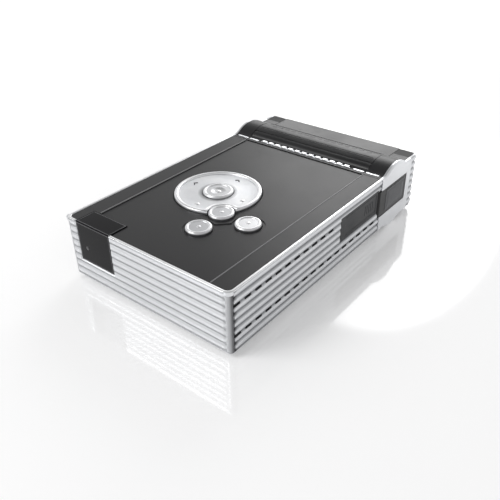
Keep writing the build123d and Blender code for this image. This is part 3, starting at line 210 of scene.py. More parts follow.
def makePaintedShadeGroup():
    # Mask places painted shade: 1 in the middle of a groove and 0 at Width pitches from it, but not on the
    # corner posts;
    # Deep is painted shade where the side grooves end behind the front corners; Post is how dark the painted
    # shade on a post is
    group, given, made = newGroup("paintedGrooveShade", {"Width": 0.28}, ("Mask", "DeepShade", "PostShade"))
    axes = objectAxes(group)
    reachX = mathNode(group, "ABSOLUTE", axes["X"])
    reachY = mathNode(group, "ABSOLUTE", axes["Y"])
    down = mathNode(group, "SUBTRACT", (caseHigh[2] - groove["first"]) * mm, axes["Z"])
    turns = mathNode(group, "DIVIDE", down, groove["pitch"] * mm)
    wave = mathNode(group, "PINGPONG", turns, 0.5)
    fade = spread(group, wave, 1.0, 0.0, 0.0, given["Width"], shape="SMOOTHSTEP")
    post = mathNode(group, "MULTIPLY", mathNode(group, "GREATER_THAN", reachX, groove["postX"] * mm),
                    mathNode(group, "GREATER_THAN", reachY, groove["postY"] * mm))
    mask = mathNode(group, "MULTIPLY", fade, mathNode(group, "SUBTRACT", 1.0, post))
    # painted shade on a post: darkest towards its gap to the side wall, and ending under the rim
    fadeStart, fadeEnd = groove["postFade"]
    toGap = spread(group, reachY, *groove["postShade"], fadeStart * mm, fadeEnd * mm, shape="SMOOTHSTEP")
    underRim = mathNode(group, "LESS_THAN", axes["Z"], groove["postTop"] * mm)
    shade = mathNode(group, "MULTIPLY", mathNode(group, "MULTIPLY", post, toGap), underRim)
    # painted shade: near black where the side grooves end behind the front corners
    deepStart, deepEnd = groove["deepEnd"]
    ending = spread(group, axes["Y"], 1.0, 0.0, deepStart * mm, deepEnd * mm, shape="SMOOTHSTEP")
    side = mathNode(group, "GREATER_THAN", reachX, groove["sideX"] * mm)
    deep = mathNode(group, "MULTIPLY", mathNode(group, "MULTIPLY", mask, ending), side)
    for label, result in (("Mask", mask), ("DeepShade", deep), ("PostShade", shade)):
        group.links.new(result, made[label])
    return group


grainGroup = makeGrainGroup()
paintedShadeGroup = makePaintedShadeGroup()
brushGroup = makeBrushGroup()
scuffGroup = makeScuffGroup()


def newMaterial(name):
    material = bpy.data.materials.new(name)
    material.use_nodes = True
    tree = material.node_tree
    return material, tree, tree.nodes["Principled BSDF"]


def addBump(tree, shader, height, strength, depth=0.01):
    bump = addNode(tree, "ShaderNodeBump", Strength=strength, Distance=depth * mm)
    tree.links.new(height, bump.inputs["Height"])
    tree.links.new(bump.outputs["Normal"], shader.inputs["Normal"])


def addRoughness(tree, shader, base, scuffs):
    # marks of handling are rougher than the surface round them
    marks = placeGroup(tree, scuffGroup, Amount=scuffs)["Mask"]
    markRoughness = 0.35
    tree.links.new(mathNode(tree, "MULTIPLY_ADD", marks, markRoughness, base), shader.inputs["Roughness"])


def grainyMaterial(name, colour, tint, roughness, metallic=0.0, grain=0.0003, strength=0.3, scuffs=0.2,
                   specular=0.5):
    # one colour with grain, patchy roughness and a little tone change
    material, tree, shader = newMaterial(name)
    grained = placeGroup(tree, grainGroup, Size=grain, Patch_Size=0.018)
    mixed = mixColour(tree, noiseSpread(tree, grained["Tone"]), colour, tint)
    tree.links.new(mixed, shader.inputs["Base Color"])
    addRoughness(tree, shader, noiseSpread(tree, grained["Tone"], *roughness), scuffs)
    shader.inputs["Metallic"].default_value = metallic
    shader.inputs["Specular IOR Level"].default_value = specular
    addBump(tree, shader, grained["Height"], strength, depth=0.02)
    return material


def brushedMaterial(name, colour, tint, roughness, stretch, strength=0.2):
    # metal with brush lines along one axis
    material, tree, shader = newMaterial(name)
    lines = placeGroup(tree, brushGroup, Stretch=stretch)["Lines"]
    tree.links.new(mixColour(tree, noiseSpread(tree, lines), colour, tint), shader.inputs["Base Color"])
    tree.links.new(noiseSpread(tree, lines, *roughness), shader.inputs["Roughness"])
    shader.inputs["Metallic"].default_value = 1.0
    addBump(tree, shader, lines, strength)
    return material


def ribbedMaterial(name, width, shade, shadeColour):
    # blasted silver with painted shade darkening the grooves between the ribs
    material, tree, shader = newMaterial(name)
    grained = placeGroup(tree, grainGroup, Size=0.0004, Patch_Size=0.02)
    grooves = placeGroup(tree, paintedShadeGroup, Width=width)
    colour = mixColour(tree, noiseSpread(tree, grained["Tone"]), (0.76, 0.77, 0.79), (0.72, 0.73, 0.75))
    # painted shade: darker grooves, dark grey corner posts and near-black ends of the side grooves
    colour = mixColour(tree, spread(tree, grooves["Mask"], 0.0, shade), colour, shadeColour)
    colour = mixColour(tree, grooves["PostShade"], colour, (0.10, 0.10, 0.105))
    colour = mixColour(tree, grooves["DeepShade"], colour, (0.03, 0.03, 0.033))
    tree.links.new(colour, shader.inputs["Base Color"])
    addRoughness(tree, shader, spread(tree, grooves["Mask"], 0.38, 0.46), scuffs=0.03)
    shader.inputs["Metallic"].default_value = 1.0
    addBump(tree, shader, grained["Height"], strength=0.02)
    return material


def turnedMaterial():
    # bright face with fine rings turned about the pad's middle, and painted shade in the well round the
    # select key
    material, tree, shader = newMaterial("turnedSilver")
    centred = addNode(tree, "ShaderNodeMapping", Location=(*(-padMiddle * mm), 0.0), Scale=(1.0, 1.0, 0.0))
    tree.links.new(objectPlace(tree), centred.inputs["Vector"])
    rings = addNode(tree, "ShaderNodeTexWave", {"wave_type": "RINGS", "rings_direction": "SPHERICAL"},
                    Scale=700.0, Distortion=1.5, Detail=2.0, Detail_Scale=3.0)
    tree.links.new(centred.outputs["Vector"], rings.inputs["Vector"])
    grained = placeGroup(tree, grainGroup, Size=0.0003, Patch_Size=0.008)
    face = mixColour(tree, noiseSpread(tree, grained["Tone"]), (0.74, 0.745, 0.755), (0.66, 0.67, 0.69))
    reach = addNode(tree, "ShaderNodeVectorMath", {"operation": "LENGTH"})
    tree.links.new(centred.outputs["Vector"], reach.inputs[0])
    # painted shade darkening the well round the select key
    wellShadeStart, wellShadeEnd = 6.7, 8.2
    wellShade = spread(tree, reach.outputs["Value"], 0.8, 0.0, wellShadeStart * mm, wellShadeEnd * mm)
    tree.links.new(mixColour(tree, wellShade, face, (0.22, 0.225, 0.235)), shader.inputs["Base Color"])
    tree.links.new(spread(tree, rings.outputs["Fac"], 0.28, 0.4), shader.inputs["Roughness"])
    shader.inputs["Metallic"].default_value = 1.0
    addBump(tree, shader, rings.outputs["Fac"], strength=0.15)
    return material


def frameMaterial(bareSilver):
    # the ribbed frame: silver, with its flat top painted black like the cover between the cheeks
    material = bareSilver.copy()
    material.name = "frameSilver"
    tree = material.node_tree
    shader = tree.nodes["Principled BSDF"]
    axes = objectAxes(tree)
    paintStart, paintFull = caseHigh[2] - 0.10, caseHigh[2] - 0.04
    innerX, outerX = 38.5, 38.6
    onTop = spread(tree, axes["Z"], 0.0, 1.0, paintStart * mm, paintFull * mm)
    inside = spread(tree, mathNode(tree, "ABSOLUTE", axes["X"]), 1.0, 0.0, innerX * mm, outerX * mm)
    paint = mathNode(tree, "MULTIPLY", onTop, inside)
    bare = shader.inputs["Base Color"].links[0].from_socket
    tree.links.new(mixColour(tree, paint, bare, (0.012, 0.012, 0.013)), shader.inputs["Base Color"])
    tree.links.new(spread(tree, paint, 1.0, 0.0), shader.inputs["Metallic"])
    shader.inputs["Specular IOR Level"].default_value = 0.15
    return material


def boardMaterial():
    # green mask with copper lines faintly under it
    material, tree, shader = newMaterial("circuitBoard")
    bricks = addNode(tree, "ShaderNodeTexBrick", Scale=260.0, Mortar_Size=0.03,
                     Color1=(0.012, 0.085, 0.035, 1.0), Color2=(0.010, 0.070, 0.030, 1.0),
                     Mortar=(0.035, 0.17, 0.06, 1.0))
    tree.links.new(objectPlace(tree), bricks.inputs["Vector"])
    tree.links.new(bricks.outputs["Color"], shader.inputs["Base Color"])
    shader.inputs["Roughness"].default_value = 0.35
    return material


# silvers
# the walls get deeper painted shade in their grooves than the front
ribbedSilver = ribbedMaterial("ribbedSilver", 0.44, 0.8, (0.27, 0.275, 0.285))
wallSilver = ribbedMaterial("wallSilver", 0.46, 0.85, (0.17, 0.175, 0.185))
frameSilver = frameMaterial(ribbedSilver)
turnedSilver = turnedMaterial()
silver = grainyMaterial("silverAnodised", (0.80, 0.81, 0.83), (0.75, 0.76, 0.78), (0.26, 0.34), metallic=1.0,
                        grain=0.00012, strength=0.12, scuffs=0.12)
# a lighter copy of the silver for the rim round the top cover: a painted highlight
litRimSilver = grainyMaterial("litRimSilver", (0.88, 0.885, 0.895), (0.83, 0.835, 0.85), (0.26, 0.32), metallic=1.0,
                           grain=0.0003, strength=0.02, scuffs=0.05)
brightKey = grainyMaterial("brightKey", (0.86, 0.865, 0.875), (0.81, 0.815, 0.83), (0.3, 0.36), metallic=1.0,
                           grain=0.0002, strength=0.04, scuffs=0.05)
# a darker copy of the key silver for the key faces: painted shade inside their raised rims
shadedKeyFace = grainyMaterial("shadedKeyFace", (0.60, 0.605, 0.615), (0.52, 0.525, 0.54), (0.3, 0.38), metallic=1.0,
                         grain=0.0003, strength=0.04, scuffs=0.05)

# blacks and greys of the outside
blackCover = grainyMaterial("blackCover", (0.011, 0.011, 0.012), (0.013, 0.013, 0.014), (0.36, 0.385),
                            grain=0.0002, strength=0.18, scuffs=0.08, specular=0.34)
blackBarrel = grainyMaterial("blackBarrel", (0.010, 0.010, 0.011), (0.014, 0.014, 0.015), (0.30, 0.38),
                             grain=0.0002, strength=0.15, scuffs=0.15, specular=0.35)
darkPlastic = grainyMaterial("darkPlastic", (0.026, 0.0265, 0.029), (0.034, 0.035, 0.038), (0.38, 0.48),
                             grain=0.00025, strength=0.25, specular=0.4)
glossWindow = grainyMaterial("glossWindow", (0.003, 0.003, 0.004), (0.005, 0.0045, 0.006), (0.07, 0.12),
                             grain=0.002, strength=0.02, scuffs=0.1, specular=0.12)
windowLine = grainyMaterial("windowLine", (0.05, 0.05, 0.055), (0.065, 0.065, 0.07), (0.25, 0.35))
# a lighter grey than the cover for the panel edge beads: a painted highlight
highlightEdgeGrey = grainyMaterial("highlightEdgeGrey", (0.15, 0.15, 0.155), (0.18, 0.18, 0.185), (0.3, 0.36), grain=0.0002,
                          strength=0.1)
inlayGrey = grainyMaterial("inlayGrey", (0.075, 0.077, 0.082), (0.09, 0.092, 0.098), (0.4, 0.5),
                           grain=0.00025, strength=0.25)
rubber = grainyMaterial("footRubber", (0.02, 0.02, 0.02), (0.03, 0.03, 0.03), (0.7, 0.85), grain=0.0004)

# materials of the inside
steel = brushedMaterial("sheetSteel", (0.56, 0.57, 0.59), (0.66, 0.67, 0.69), (0.24, 0.38), (60.0, 1.0, 60.0))
castMetal = grainyMaterial("castMetal", (0.42, 0.43, 0.45), (0.5, 0.51, 0.53), (0.4, 0.55), metallic=1.0,
                           strength=0.5)
chipBlack = grainyMaterial("chipBlack", (0.02, 0.02, 0.022), (0.03, 0.03, 0.032), (0.5, 0.6))
connector = grainyMaterial("connectorMetal", (0.7, 0.69, 0.66), (0.62, 0.61, 0.58), (0.2, 0.3), metallic=1.0)
flexAmber = grainyMaterial("flexAmber", (0.42, 0.2, 0.03), (0.5, 0.26, 0.05), (0.3, 0.4))
board = boardMaterial()

materialOf = {
    "silver_aluminium": silver, "black_cover": blackCover, "black_window": glossWindow,
    "dark_plastic": darkPlastic, "bright_key": brightKey, "rubber_foot": rubber, "sheet_steel": steel,
    "cast_metal": castMetal, "circuit_board": board, "chip_black": chipBlack,
    "connector_metal": connector, "flex_amber": flexAmber,
}
print("materials made")


def finishMesh(mesh, material, angle):
    mesh.materials.append(material)
    mesh.shade_smooth()
    mesh.set_sharp_from_angle(angle=math.radians(angle))


# pieces that stand for CAD nodes, with smooth shading and soft edges
soften = {"mergeDistance": 1e-6, "flatAngle": 1.0, "sharpAngle": 32.0, "segments": 2}


def softCopy(nodeName, pieceName, material, edge):
    # a merged copy of a node, with its sharp edges bevelled and its curves shaded smooth
    mesh = nodes[nodeName].data.copy()
    mesh.materials.clear()
    work = bmesh.new()
    work.from_mesh(mesh)
    bmesh.ops.remove_doubles(work, verts=work.verts, dist=soften["mergeDistance"])
    bmesh.ops.dissolve_limit(work, angle_limit=math.radians(soften["flatAngle"]), verts=work.verts,
                             edges=work.edges)
    bmesh.ops.recalc_face_normals(work, faces=work.faces)
    work.to_mesh(mesh)
    work.free()
    finishMesh(mesh, material, soften["sharpAngle"])
    piece = bpy.data.objects.new(pieceName, mesh)
    bpy.context.scene.collection.objects.link(piece)
    bevel = piece.modifiers.new("softEdge", "BEVEL")
    bevel.width = edge * mm
    bevel.segments = soften["segments"]
    bevel.limit_method = "ANGLE"
    bevel.angle_limit = math.radians(soften["sharpAngle"])
    even = piece.modifiers.new("evenShading", "WEIGHTED_NORMAL")
    even.keep_sharp = True
    even.weight = 100
    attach(piece, bodyOf[nodeName])
    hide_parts(nodeName)
    return piece


# edge is the bevel's width in millimetres; a piece without a finish has its slot's material
smoothPieces = {
    "frontPanel": {"node": "front_panel", "edge": 0.06, "finish": ribbedSilver},
    "rightWall": {"node": "right_wall", "edge": 0.05, "finish": wallSilver},
    "leftWall": {"node": "left_wall", "edge": 0.05, "finish": wallSilver},
    "topCover": {"node": "top_cover", "edge": 0.08},
    "moduleBody": {"node": "module_body", "edge": 0.08, "finish": blackBarrel},
    "rightCheek": {"node": "right_cheek", "edge": 0.06},
    "leftCheek": {"node": "left_cheek", "edge": 0.06},
    "rearFrame": {"node": "rear_frame", "edge": 0.05, "finish": frameSilver},
    "rearFlap": {"node": "rear_flap", "edge": 0.1, "finish": blackBarrel},
    "flapTrim": {"node": "flap_trim", "edge": 0.06, "finish": ribbedSilver},
    "navRing": {"node": "nav_ring", "edge": 0.08, "finish": turnedSilver},
    "selectKey": {"node": "select_key", "edge": 0.05, "finish": shadedKeyFace},
    "middleKey": {"node": "middle_key", "edge": 0.05, "finish": shadedKeyFace},
    "leftKey": {"node": "left_key", "edge": 0.05, "finish": shadedKeyFace},
    "rightKey": {"node": "right_key", "edge": 0.05, "finish": shadedKeyFace},
    "portCover": {"node": "port_cover", "edge": 0.08},
    "rightRelease": {"node": "right_release", "edge": 0.1, "finish": blackBarrel},
    "leftRelease": {"node": "left_release", "edge": 0.1, "finish": blackBarrel},
    "gripStrip": {"node": "grip_strip", "edge": 0.08},
    "windowPane": {"node": "ir_window", "edge": 0.1},
    "frontFeet": {"node": "front_feet", "edge": 0.1},
    "rearFeet": {"node": "rear_feet", "edge": 0.15},
    "jackPlate": {"node": "jack_plate", "edge": 0.08},
}
pieces = {}
for pieceName, choice in smoothPieces.items():
    nodeName = choice["node"]
    finish = choice.get("finish", materialOf[slotOf[nodeName]])
    pieces[pieceName] = softCopy(nodeName, pieceName, finish, choice["edge"])
print("smooth pieces made:", len(pieces))


# surfaces worked out with numpy, in millimetres
def addSurface(name, points, faces, material, nodeName):
    # a mesh from arrays of points and faces; it rides where its node rides
    smoothAngle = 40.0
    mesh = bpy.data.meshes.new(name)
    mesh.from_pydata((points * mm).tolist(), [], faces)
    mesh.update()
    work = bmesh.new()
    work.from_mesh(mesh)
    bmesh.ops.recalc_face_normals(work, faces=work.faces)
    work.to_mesh(mesh)
    work.free()
    finishMesh(mesh, material, smoothAngle)
    piece = bpy.data.objects.new(name, mesh)
    bpy.context.scene.collection.objects.link(piece)
    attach(piece, bodyOf[nodeName])


def joined(parts):
    # several (points, faces) pairs as one
    points, faces, start = [], [], 0
    for partPoints, partFaces in parts:
        points.append(partPoints)
        faces += [tuple(index + start for index in face) for face in partFaces]
        start += len(partPoints)
    return np.concatenate(points), faces


def gridFaces(rows, columns, closedRows=False):
    # quads between rows of a grid whose columns run round
    row = np.arange(rows if closedRows else rows - 1)[:, None]
    column = np.arange(columns)[None, :]
    nextRow, nextColumn = (row + 1) % rows, (column + 1) % columns
    quads = np.stack([row * columns + column, row * columns + nextColumn,
                      nextRow * columns + nextColumn, nextRow * columns + column], axis=-1)
    return [tuple(quad) for quad in quads.reshape(-1, 4).tolist()]


def bead(path, normal, halfWidth, height, sink=0.15, closed=True, steps=9):
    # half-round bead: point = path + side * halfWidth * cos(a) + normal * height * sin(a), a from 0 to pi,
    # with two more points sunk below the face; side is square to the path and widened at its corners
    path, normal = np.asarray(path, float), np.asarray(normal, float)
    ahead = np.roll(path, -1, axis=0) - path
    behind = path - np.roll(path, 1, axis=0)
    if not closed:
        ahead[-1], behind[0] = behind[-1], ahead[0]
    sideAhead = np.cross(ahead / np.linalg.norm(ahead, axis=1)[:, None], normal)
    sideBehind = np.cross(behind / np.linalg.norm(behind, axis=1)[:, None], normal)
    side = sideAhead + sideBehind
    side /= np.linalg.norm(side, axis=1)[:, None]
    side /= np.sum(side * sideAhead, axis=1)[:, None]
    angle = np.linspace(0, math.pi, steps)
    across = np.concatenate([np.cos(angle) * halfWidth, [-halfWidth, halfWidth]])
    up = np.concatenate([np.sin(angle) * height, [-sink, -sink]])
    points = (path[:, None, :] + side[:, None, :] * across[None, :, None]
              + normal[None, None, :] * up[None, :, None])
    columns = len(across)
    faces = gridFaces(len(path), columns, closedRows=closed)
    if not closed:
        faces.append(tuple(range(columns)))
        faces.append(tuple(range(len(path) * columns - columns, len(path) * columns)))
    return points.reshape(-1, 3), faces


def pillow(centre, axisA, axisB, halfSizes, corner, profile, steps=8):
    # rounded rectangle in rings: ring k is the outline drawn in by inset k and raised by height k of the
    # profile, closed by a pole in its middle and one below
    centre, axisA, axisB = (np.asarray(value, float) for value in (centre, axisA, axisB))
    smallestRadius = 0.02
    out = np.cross(axisA, axisB)
    turn = np.linspace(0, math.pi / 2, steps)
    angle = (turn[None, :] + np.arange(4)[:, None] * math.pi / 2).ravel()
    signA = np.repeat([1, -1, -1, 1], steps)
    signB = np.repeat([1, 1, -1, -1], steps)
    inset, height = np.asarray(profile, float).T[:, :, None]
    radius = np.maximum(corner - inset, smallestRadius)
    a = signA * (halfSizes[0] - inset - radius) + radius * np.cos(angle)
    b = signB * (halfSizes[1] - inset - radius) + radius * np.sin(angle)
    rings = centre + a[..., None] * axisA + b[..., None] * axisB + (height + 0 * a)[..., None] * out
    count, columns = a.shape
    poles = centre + np.array([[height[0, 0]], [height[-1, 0]]]) * out
    points = np.concatenate([rings.reshape(-1, 3), poles])
    faces = gridFaces(count, columns)
    last = (count - 1) * columns
    faces += [(k, (k + 1) % columns, count * columns) for k in range(columns)]
    faces += [(last + k, last + (k + 1) % columns, count * columns + 1) for k in range(columns)]
    return points, faces


def rectangle(a, b):
    # the four corners of the ranges a and b, in turn
    return [(a[0], b[0]), (a[1], b[0]), (a[1], b[1]), (a[0], b[1])]


domeProfile = [(0.0, -0.15), (0.0, 0.02), (0.08, 0.1), (0.22, 0.17), (0.42, 0.22), (0.65, 0.25)]


def dome(centre, size, axisA=xAxis, axisB=yAxis):
    return pillow(centre, axisA, axisB, (size, size), size, domeProfile)


# round pad: bright rim that also runs round the middle key, two dots and two arrow heads
pad = {"face": padHigh[2] - 0.15, "rimRadius": 16.45, "rimHalf": 0.85, "rimRise": 0.42, "rimSink": 0.4,
       "dish": 0.35, "dishWidth": 6.0, "steps": (260, 44), "smoothing": 9, "notchRadius": 6.25,
       "keyPlace": padMiddle + 17.0 * math.sqrt(0.5) * np.array([1, -1]), "markRadius": 12.3,
       "dotSize": 0.95, "dotDrop": 0.32, "arrowSize": 1.0, "arrowDrop": 0.28, "arrowHalf": 0.24,
       "arrowRise": 0.09}


def padRimPath():
    # outer circle with a bay round the middle key, both sampled evenly, then smoothed at the two corners
    gap = pad["keyPlace"] - padMiddle
    distance = np.linalg.norm(gap)
    toward = math.atan2(gap[1], gap[0])
    outer, inner = pad["rimRadius"], pad["notchRadius"]
    outerHalf = math.acos((distance**2 + outer**2 - inner**2) / (2 * distance * outer))
    innerHalf = math.acos((distance**2 + inner**2 - outer**2) / (2 * distance * inner))
    outerSteps, innerSteps = pad["steps"]
    sweepOut = np.linspace(toward + outerHalf, toward + 2 * math.pi - outerHalf, outerSteps)[:-1]
    sweepIn = np.linspace(toward + math.pi + innerHalf, toward + math.pi - innerHalf, innerSteps)[:-1]
    outerPoints = padMiddle + outer * np.stack([np.cos(sweepOut), np.sin(sweepOut)], axis=1)
    innerPoints = pad["keyPlace"] + inner * np.stack([np.cos(sweepIn), np.sin(sweepIn)], axis=1)
    loop = np.concatenate([outerPoints, innerPoints])
    half = pad["smoothing"] // 2
    loop = sum(np.roll(loop, k, axis=0) for k in range(-half, half + 1)) / pad["smoothing"]
    # the face is dished: it falls towards the middle
    inward = (outer - np.linalg.norm(loop - padMiddle, axis=1)) / pad["dishWidth"]
    return np.column_stack([loop, pad["face"] - pad["dish"] * np.clip(inward, 0, 1)])


def arrowHead(place, direction):
    # two strokes that meet in a point along direction
    forward = np.array([math.cos(direction), math.sin(direction)]) * pad["arrowSize"]
    across = np.array([-forward[1], forward[0]])
    corners = [place - forward / 2 + across, place + forward / 2, place - forward / 2 - across]
    return bead([(*corner, pad["face"] - pad["arrowDrop"]) for corner in corners], zAxis, pad["arrowHalf"],
                pad["arrowRise"], closed=False, steps=5)


def padPlace(direction):
    return padMiddle + pad["markRadius"] * np.array([math.cos(direction), math.sin(direction)])


frontward, rightward, leftward, rearward = -math.pi / 2, 0.0, math.pi, math.pi / 2
addSurface("padRim", *bead(padRimPath(), zAxis, pad["rimHalf"], pad["rimRise"], sink=pad["rimSink"]),
           brightKey, "nav_ring")
addSurface("padDots", *joined([dome((*padPlace(direction), pad["face"] - pad["dotDrop"]), pad["dotSize"])
                               for direction in (frontward, rightward)]), brightKey, "nav_ring")
addSurface("padMarks", *joined([arrowHead(padPlace(direction), direction)
                                for direction in (leftward, rearward)]), darkPlastic, "nav_ring")

# raised rims and domes of the keys: drop is from the rim's level down to the dome's foot
keyRims = {
    "selectRim": {"node": "select_key", "radius": 5.25, "rise": 0.36, "dome": 1.15, "drop": 0.3},
    "middleRim": {"node": "middle_key", "radius": 4.2, "rise": 0.32, "dome": 0.95, "drop": -0.02},
    "leftRim": {"node": "left_key", "radius": 4.2, "rise": 0.32, "dome": 0.85, "drop": -0.02},
    "rightRim": {"node": "right_key", "radius": 4.2, "rise": 0.32, "dome": 0.85, "drop": -0.02},
}
keyRim = {"belowTop": 0.05, "half": 0.62, "sink": 0.3, "steps": 96}


def circlePath(centre, radius, level, count):
    angle = np.linspace(0, 2 * math.pi, count, endpoint=False)
    return np.stack([centre[0] + radius * np.cos(angle), centre[1] + radius * np.sin(angle),
                     np.full(count, level)], axis=1)


for pieceName, key in keyRims.items():
    keyLow, keyHigh = boxMm(key["node"])
    level = keyHigh[2] - keyRim["belowTop"]
    middle = (keyLow + keyHigh)[:2] / 2
    if pieceName == "middleRim":
        middle = pad["keyPlace"]                   # its flange is cut towards the pad
    ring = bead(circlePath(middle, key["radius"], level, keyRim["steps"]), zAxis, keyRim["half"], key["rise"],
                sink=keyRim["sink"])
    addSurface(pieceName, *joined([ring, dome((*middle, level - key["drop"]), key["dome"])]), brightKey,
               key["node"])

# window: fine border lines on its two faces, and a small lens
window = {"inset": 0.43, "bendInset": 0.55, "half": 0.17, "rise": 0.09, "lens": (-29.5, 16.2),
          "lensSize": 0.75}
windowX = (paneLow[0] + window["inset"], paneHigh[0] - window["inset"])
windowY = (paneLow[1] + window["bendInset"], paneHigh[1] - window["inset"])
windowZ = (paneLow[2] + window["inset"], paneHigh[2] - window["bendInset"])
frontLoop = [(x, paneLow[1], z) for x, z in rectangle(windowX, windowZ)]
topLoop = [(x, y, paneHigh[2]) for x, y in rectangle(windowX, windowY)]
addSurface("windowLines", *joined([bead(frontLoop, (0, -1, 0), window["half"], window["rise"]),
                                   bead(topLoop, zAxis, window["half"], window["rise"])]), windowLine,
           "ir_window")
lensX, lensZ = window["lens"]
addSurface("windowLens", *dome((lensX, paneLow[1], lensZ), window["lensSize"], xAxis, zAxis), windowLine,
           "ir_window")

# top cover: rounded edges of the sunk panel, in a lighter grey as a painted highlight along them
panel = {"x": 30.95, "half": 0.28, "rise": 0.16, "level": caseHigh[2] - 0.02, "rearY": coverHigh[1] - 0.4,
         "frontY": {-1: paneHigh[1] + 0.42, 1: coverLow[1] + 0.35}}
for pieceName, side in (("leftPanelEdge", -1), ("rightPanelEdge", 1)):
    ends = (panel["frontY"][side], panel["rearY"])
    addSurface(pieceName, *bead([(side * panel["x"], y, panel["level"]) for y in ends], zAxis, panel["half"],
                                panel["rise"], closed=False), highlightEdgeGrey, "top_cover")

# bright rounded rim round the top cover, lighter than the silver as a painted highlight: two lengths, each
# from the rear round a front corner to the window
rim = {"x": caseHigh[0] - 0.75, "frontY": caseLow[1] + 0.7, "rearY": coverHigh[1] - 0.3, "corner": 2.6,
       "sideSteps": 20, "cornerSteps": 14, "level": caseHigh[2] - 0.02, "half": 0.58, "rise": 0.2,
       "windowGap": 0.47}


def rimPath(side, frontEnd):
    # along the side from the rear, round the corner, then along the front to frontEnd
    turn = np.linspace(0, math.pi / 2, rim["cornerSteps"])
    cornerX = rim["x"] - rim["corner"] * (1 - np.cos(turn))
    cornerY = rim["frontY"] + rim["corner"] * (1 - np.sin(turn))
    sideX = np.full(rim["sideSteps"], rim["x"])
    sideY = np.linspace(rim["rearY"], cornerY[0], rim["sideSteps"] + 1)[:-1]
    x = np.concatenate([side * sideX, side * cornerX, [frontEnd]])
    y = np.concatenate([sideY, cornerY, [rim["frontY"]]])
    return np.column_stack([x, y, np.full(len(x), rim["level"])])


for pieceName, side, frontEnd in (("rightCoverRim", 1, paneHigh[0] + rim["windowGap"]),
                                  ("leftCoverRim", -1, paneLow[0] - rim["windowGap"])):
    addSurface(pieceName, *bead(rimPath(side, frontEnd), zAxis, rim["half"], rim["rise"], closed=False),
               litRimSilver, "front_panel")

# side port cover: a fine frame and a row of grip bars
portLow, portHigh = boxMm("port_cover")
port = {"x": portHigh[0] - 0.15, "y": (portLow[1] + 3.0, portHigh[1] - 1.2),
        "z": (portLow[2] + 1.45, portHigh[2] - 1.4), "half": 0.14, "rise": 0.12, "bars": 5, "barPitch": 1.5,
        "barStart": portHigh[1] - 9.8, "barHalf": (0.4, 2.2)}
barProfile = [(0.0, -0.15), (0.0, 0.02), (0.06, 0.08), (0.16, 0.12), (0.3, 0.13)]
portLoop = [(port["x"], y, z) for y, z in rectangle(port["y"], port["z"])]
bars = [pillow((port["x"], port["barStart"] + port["barPitch"] * k, sum(port["z"]) / 2), yAxis, zAxis,
               port["barHalf"], port["barHalf"][0], barProfile) for k in range(port["bars"])]
addSurface("portDetail", *joined([bead(portLoop, xAxis, port["half"], port["rise"]), *bars]), darkPlastic,
           "port_cover")

# release pads: grey inlay in the black pad, whose own face lies a little inside it
releaseLow, releaseHigh = boxMm("right_release")
inlay = {"y": (36.6, releaseHigh[1] - 1.9), "z": (releaseLow[2] + 1.9, releaseHigh[2] - 1.9), "corner": 0.6,
         "base": releaseHigh[0] - 0.17, "faceDepth": 0.05, "rise": 0.16, "grooveRise": 0.09}
inlayProfile = [(0.0, -0.2), (0.0, 0.05), (0.05, 0.12), (0.16, inlay["rise"]), (0.5, inlay["rise"]),
                (0.62, inlay["grooveRise"]), (1.0, inlay["grooveRise"]), (1.12, inlay["rise"]),
                (3.0, inlay["rise"])]


def drawFaceIn(mesh, side):
    # moves the outer face of a pad's copy in to the foot of its inlay
    places = np.empty(len(mesh.vertices) * 3)
    mesh.vertices.foreach_get("co", places)
    places = places.reshape(-1, 3)
    onFace = side * places[:, 0] > (releaseHigh[0] - inlay["faceDepth"]) * mm
    places[onFace, 0] = side * inlay["base"] * mm
    mesh.vertices.foreach_set("co", places.ravel())
    mesh.update()


inlayMiddle = (sum(inlay["y"]) / 2, sum(inlay["z"]) / 2)
halfY, halfZ = ((high - low) / 2 for low, high in (inlay["y"], inlay["z"]))
for side, word in ((1, "right"), (-1, "left")):
    drawFaceIn(pieces[word + "Release"].data, side)
    form = (yAxis, zAxis, (halfY, halfZ)) if side > 0 else (zAxis, yAxis, (halfZ, halfY))
    addSurface(word + "Inlay", *pillow((side * inlay["base"], *inlayMiddle), *form, inlay["corner"],
                                       inlayProfile), inlayGrey, word + "_release")

# flap: fine lines and a row of low grip pads along the barrel; places in Y are from its axis
barrelLow, barrelHigh = boxMm("module_body")
flapHigh = boxMm("rear_flap")[1]
flap = {"axisY": flapHigh[1] - 20.5, "halfLength": flapHigh[0] - 1.3, "lines": (-2.9, -1.9, 4.7, 6.1),
        "lineHalf": 0.16, "lineRise": 0.11, "padY": 1.9, "pads": 15, "padPitch": 3.6, "padHalf": (1.15, 0.75),
        "padCorner": 0.4}
padProfile = [(0.0, -0.2), (0.0, 0.0), (0.05, 0.05), (0.15, 0.08), (0.3, 0.09)]
barrelRadius = (barrelHigh[2] - barrelLow[2]) / 2


def onBarrel(x, y):
    # a place on the barrel's upper face
    level = barrelHigh[2] - barrelRadius + math.sqrt(barrelRadius**2 - y**2)
    return (x, flap["axisY"] + y, level)


flapLines = [bead([onBarrel(-flap["halfLength"], y), onBarrel(flap["halfLength"], y)], zAxis,
                  flap["lineHalf"], flap["lineRise"], closed=False) for y in flap["lines"]]
flapPads = [pillow(onBarrel(flap["padPitch"] * (k - (flap["pads"] - 1) / 2), flap["padY"]), xAxis, yAxis,
                   flap["padHalf"], flap["padCorner"], padProfile) for k in range(flap["pads"])]
addSurface("flapGrip", *joined(flapLines + flapPads), blackBarrel, "rear_flap")
print("numpy pieces made")

for nodeName, node in nodes.items():
    if node.hide_render:
        continue
    node.data.materials.clear()
    node.data.materials.append(materialOf[slotOf[nodeName]])

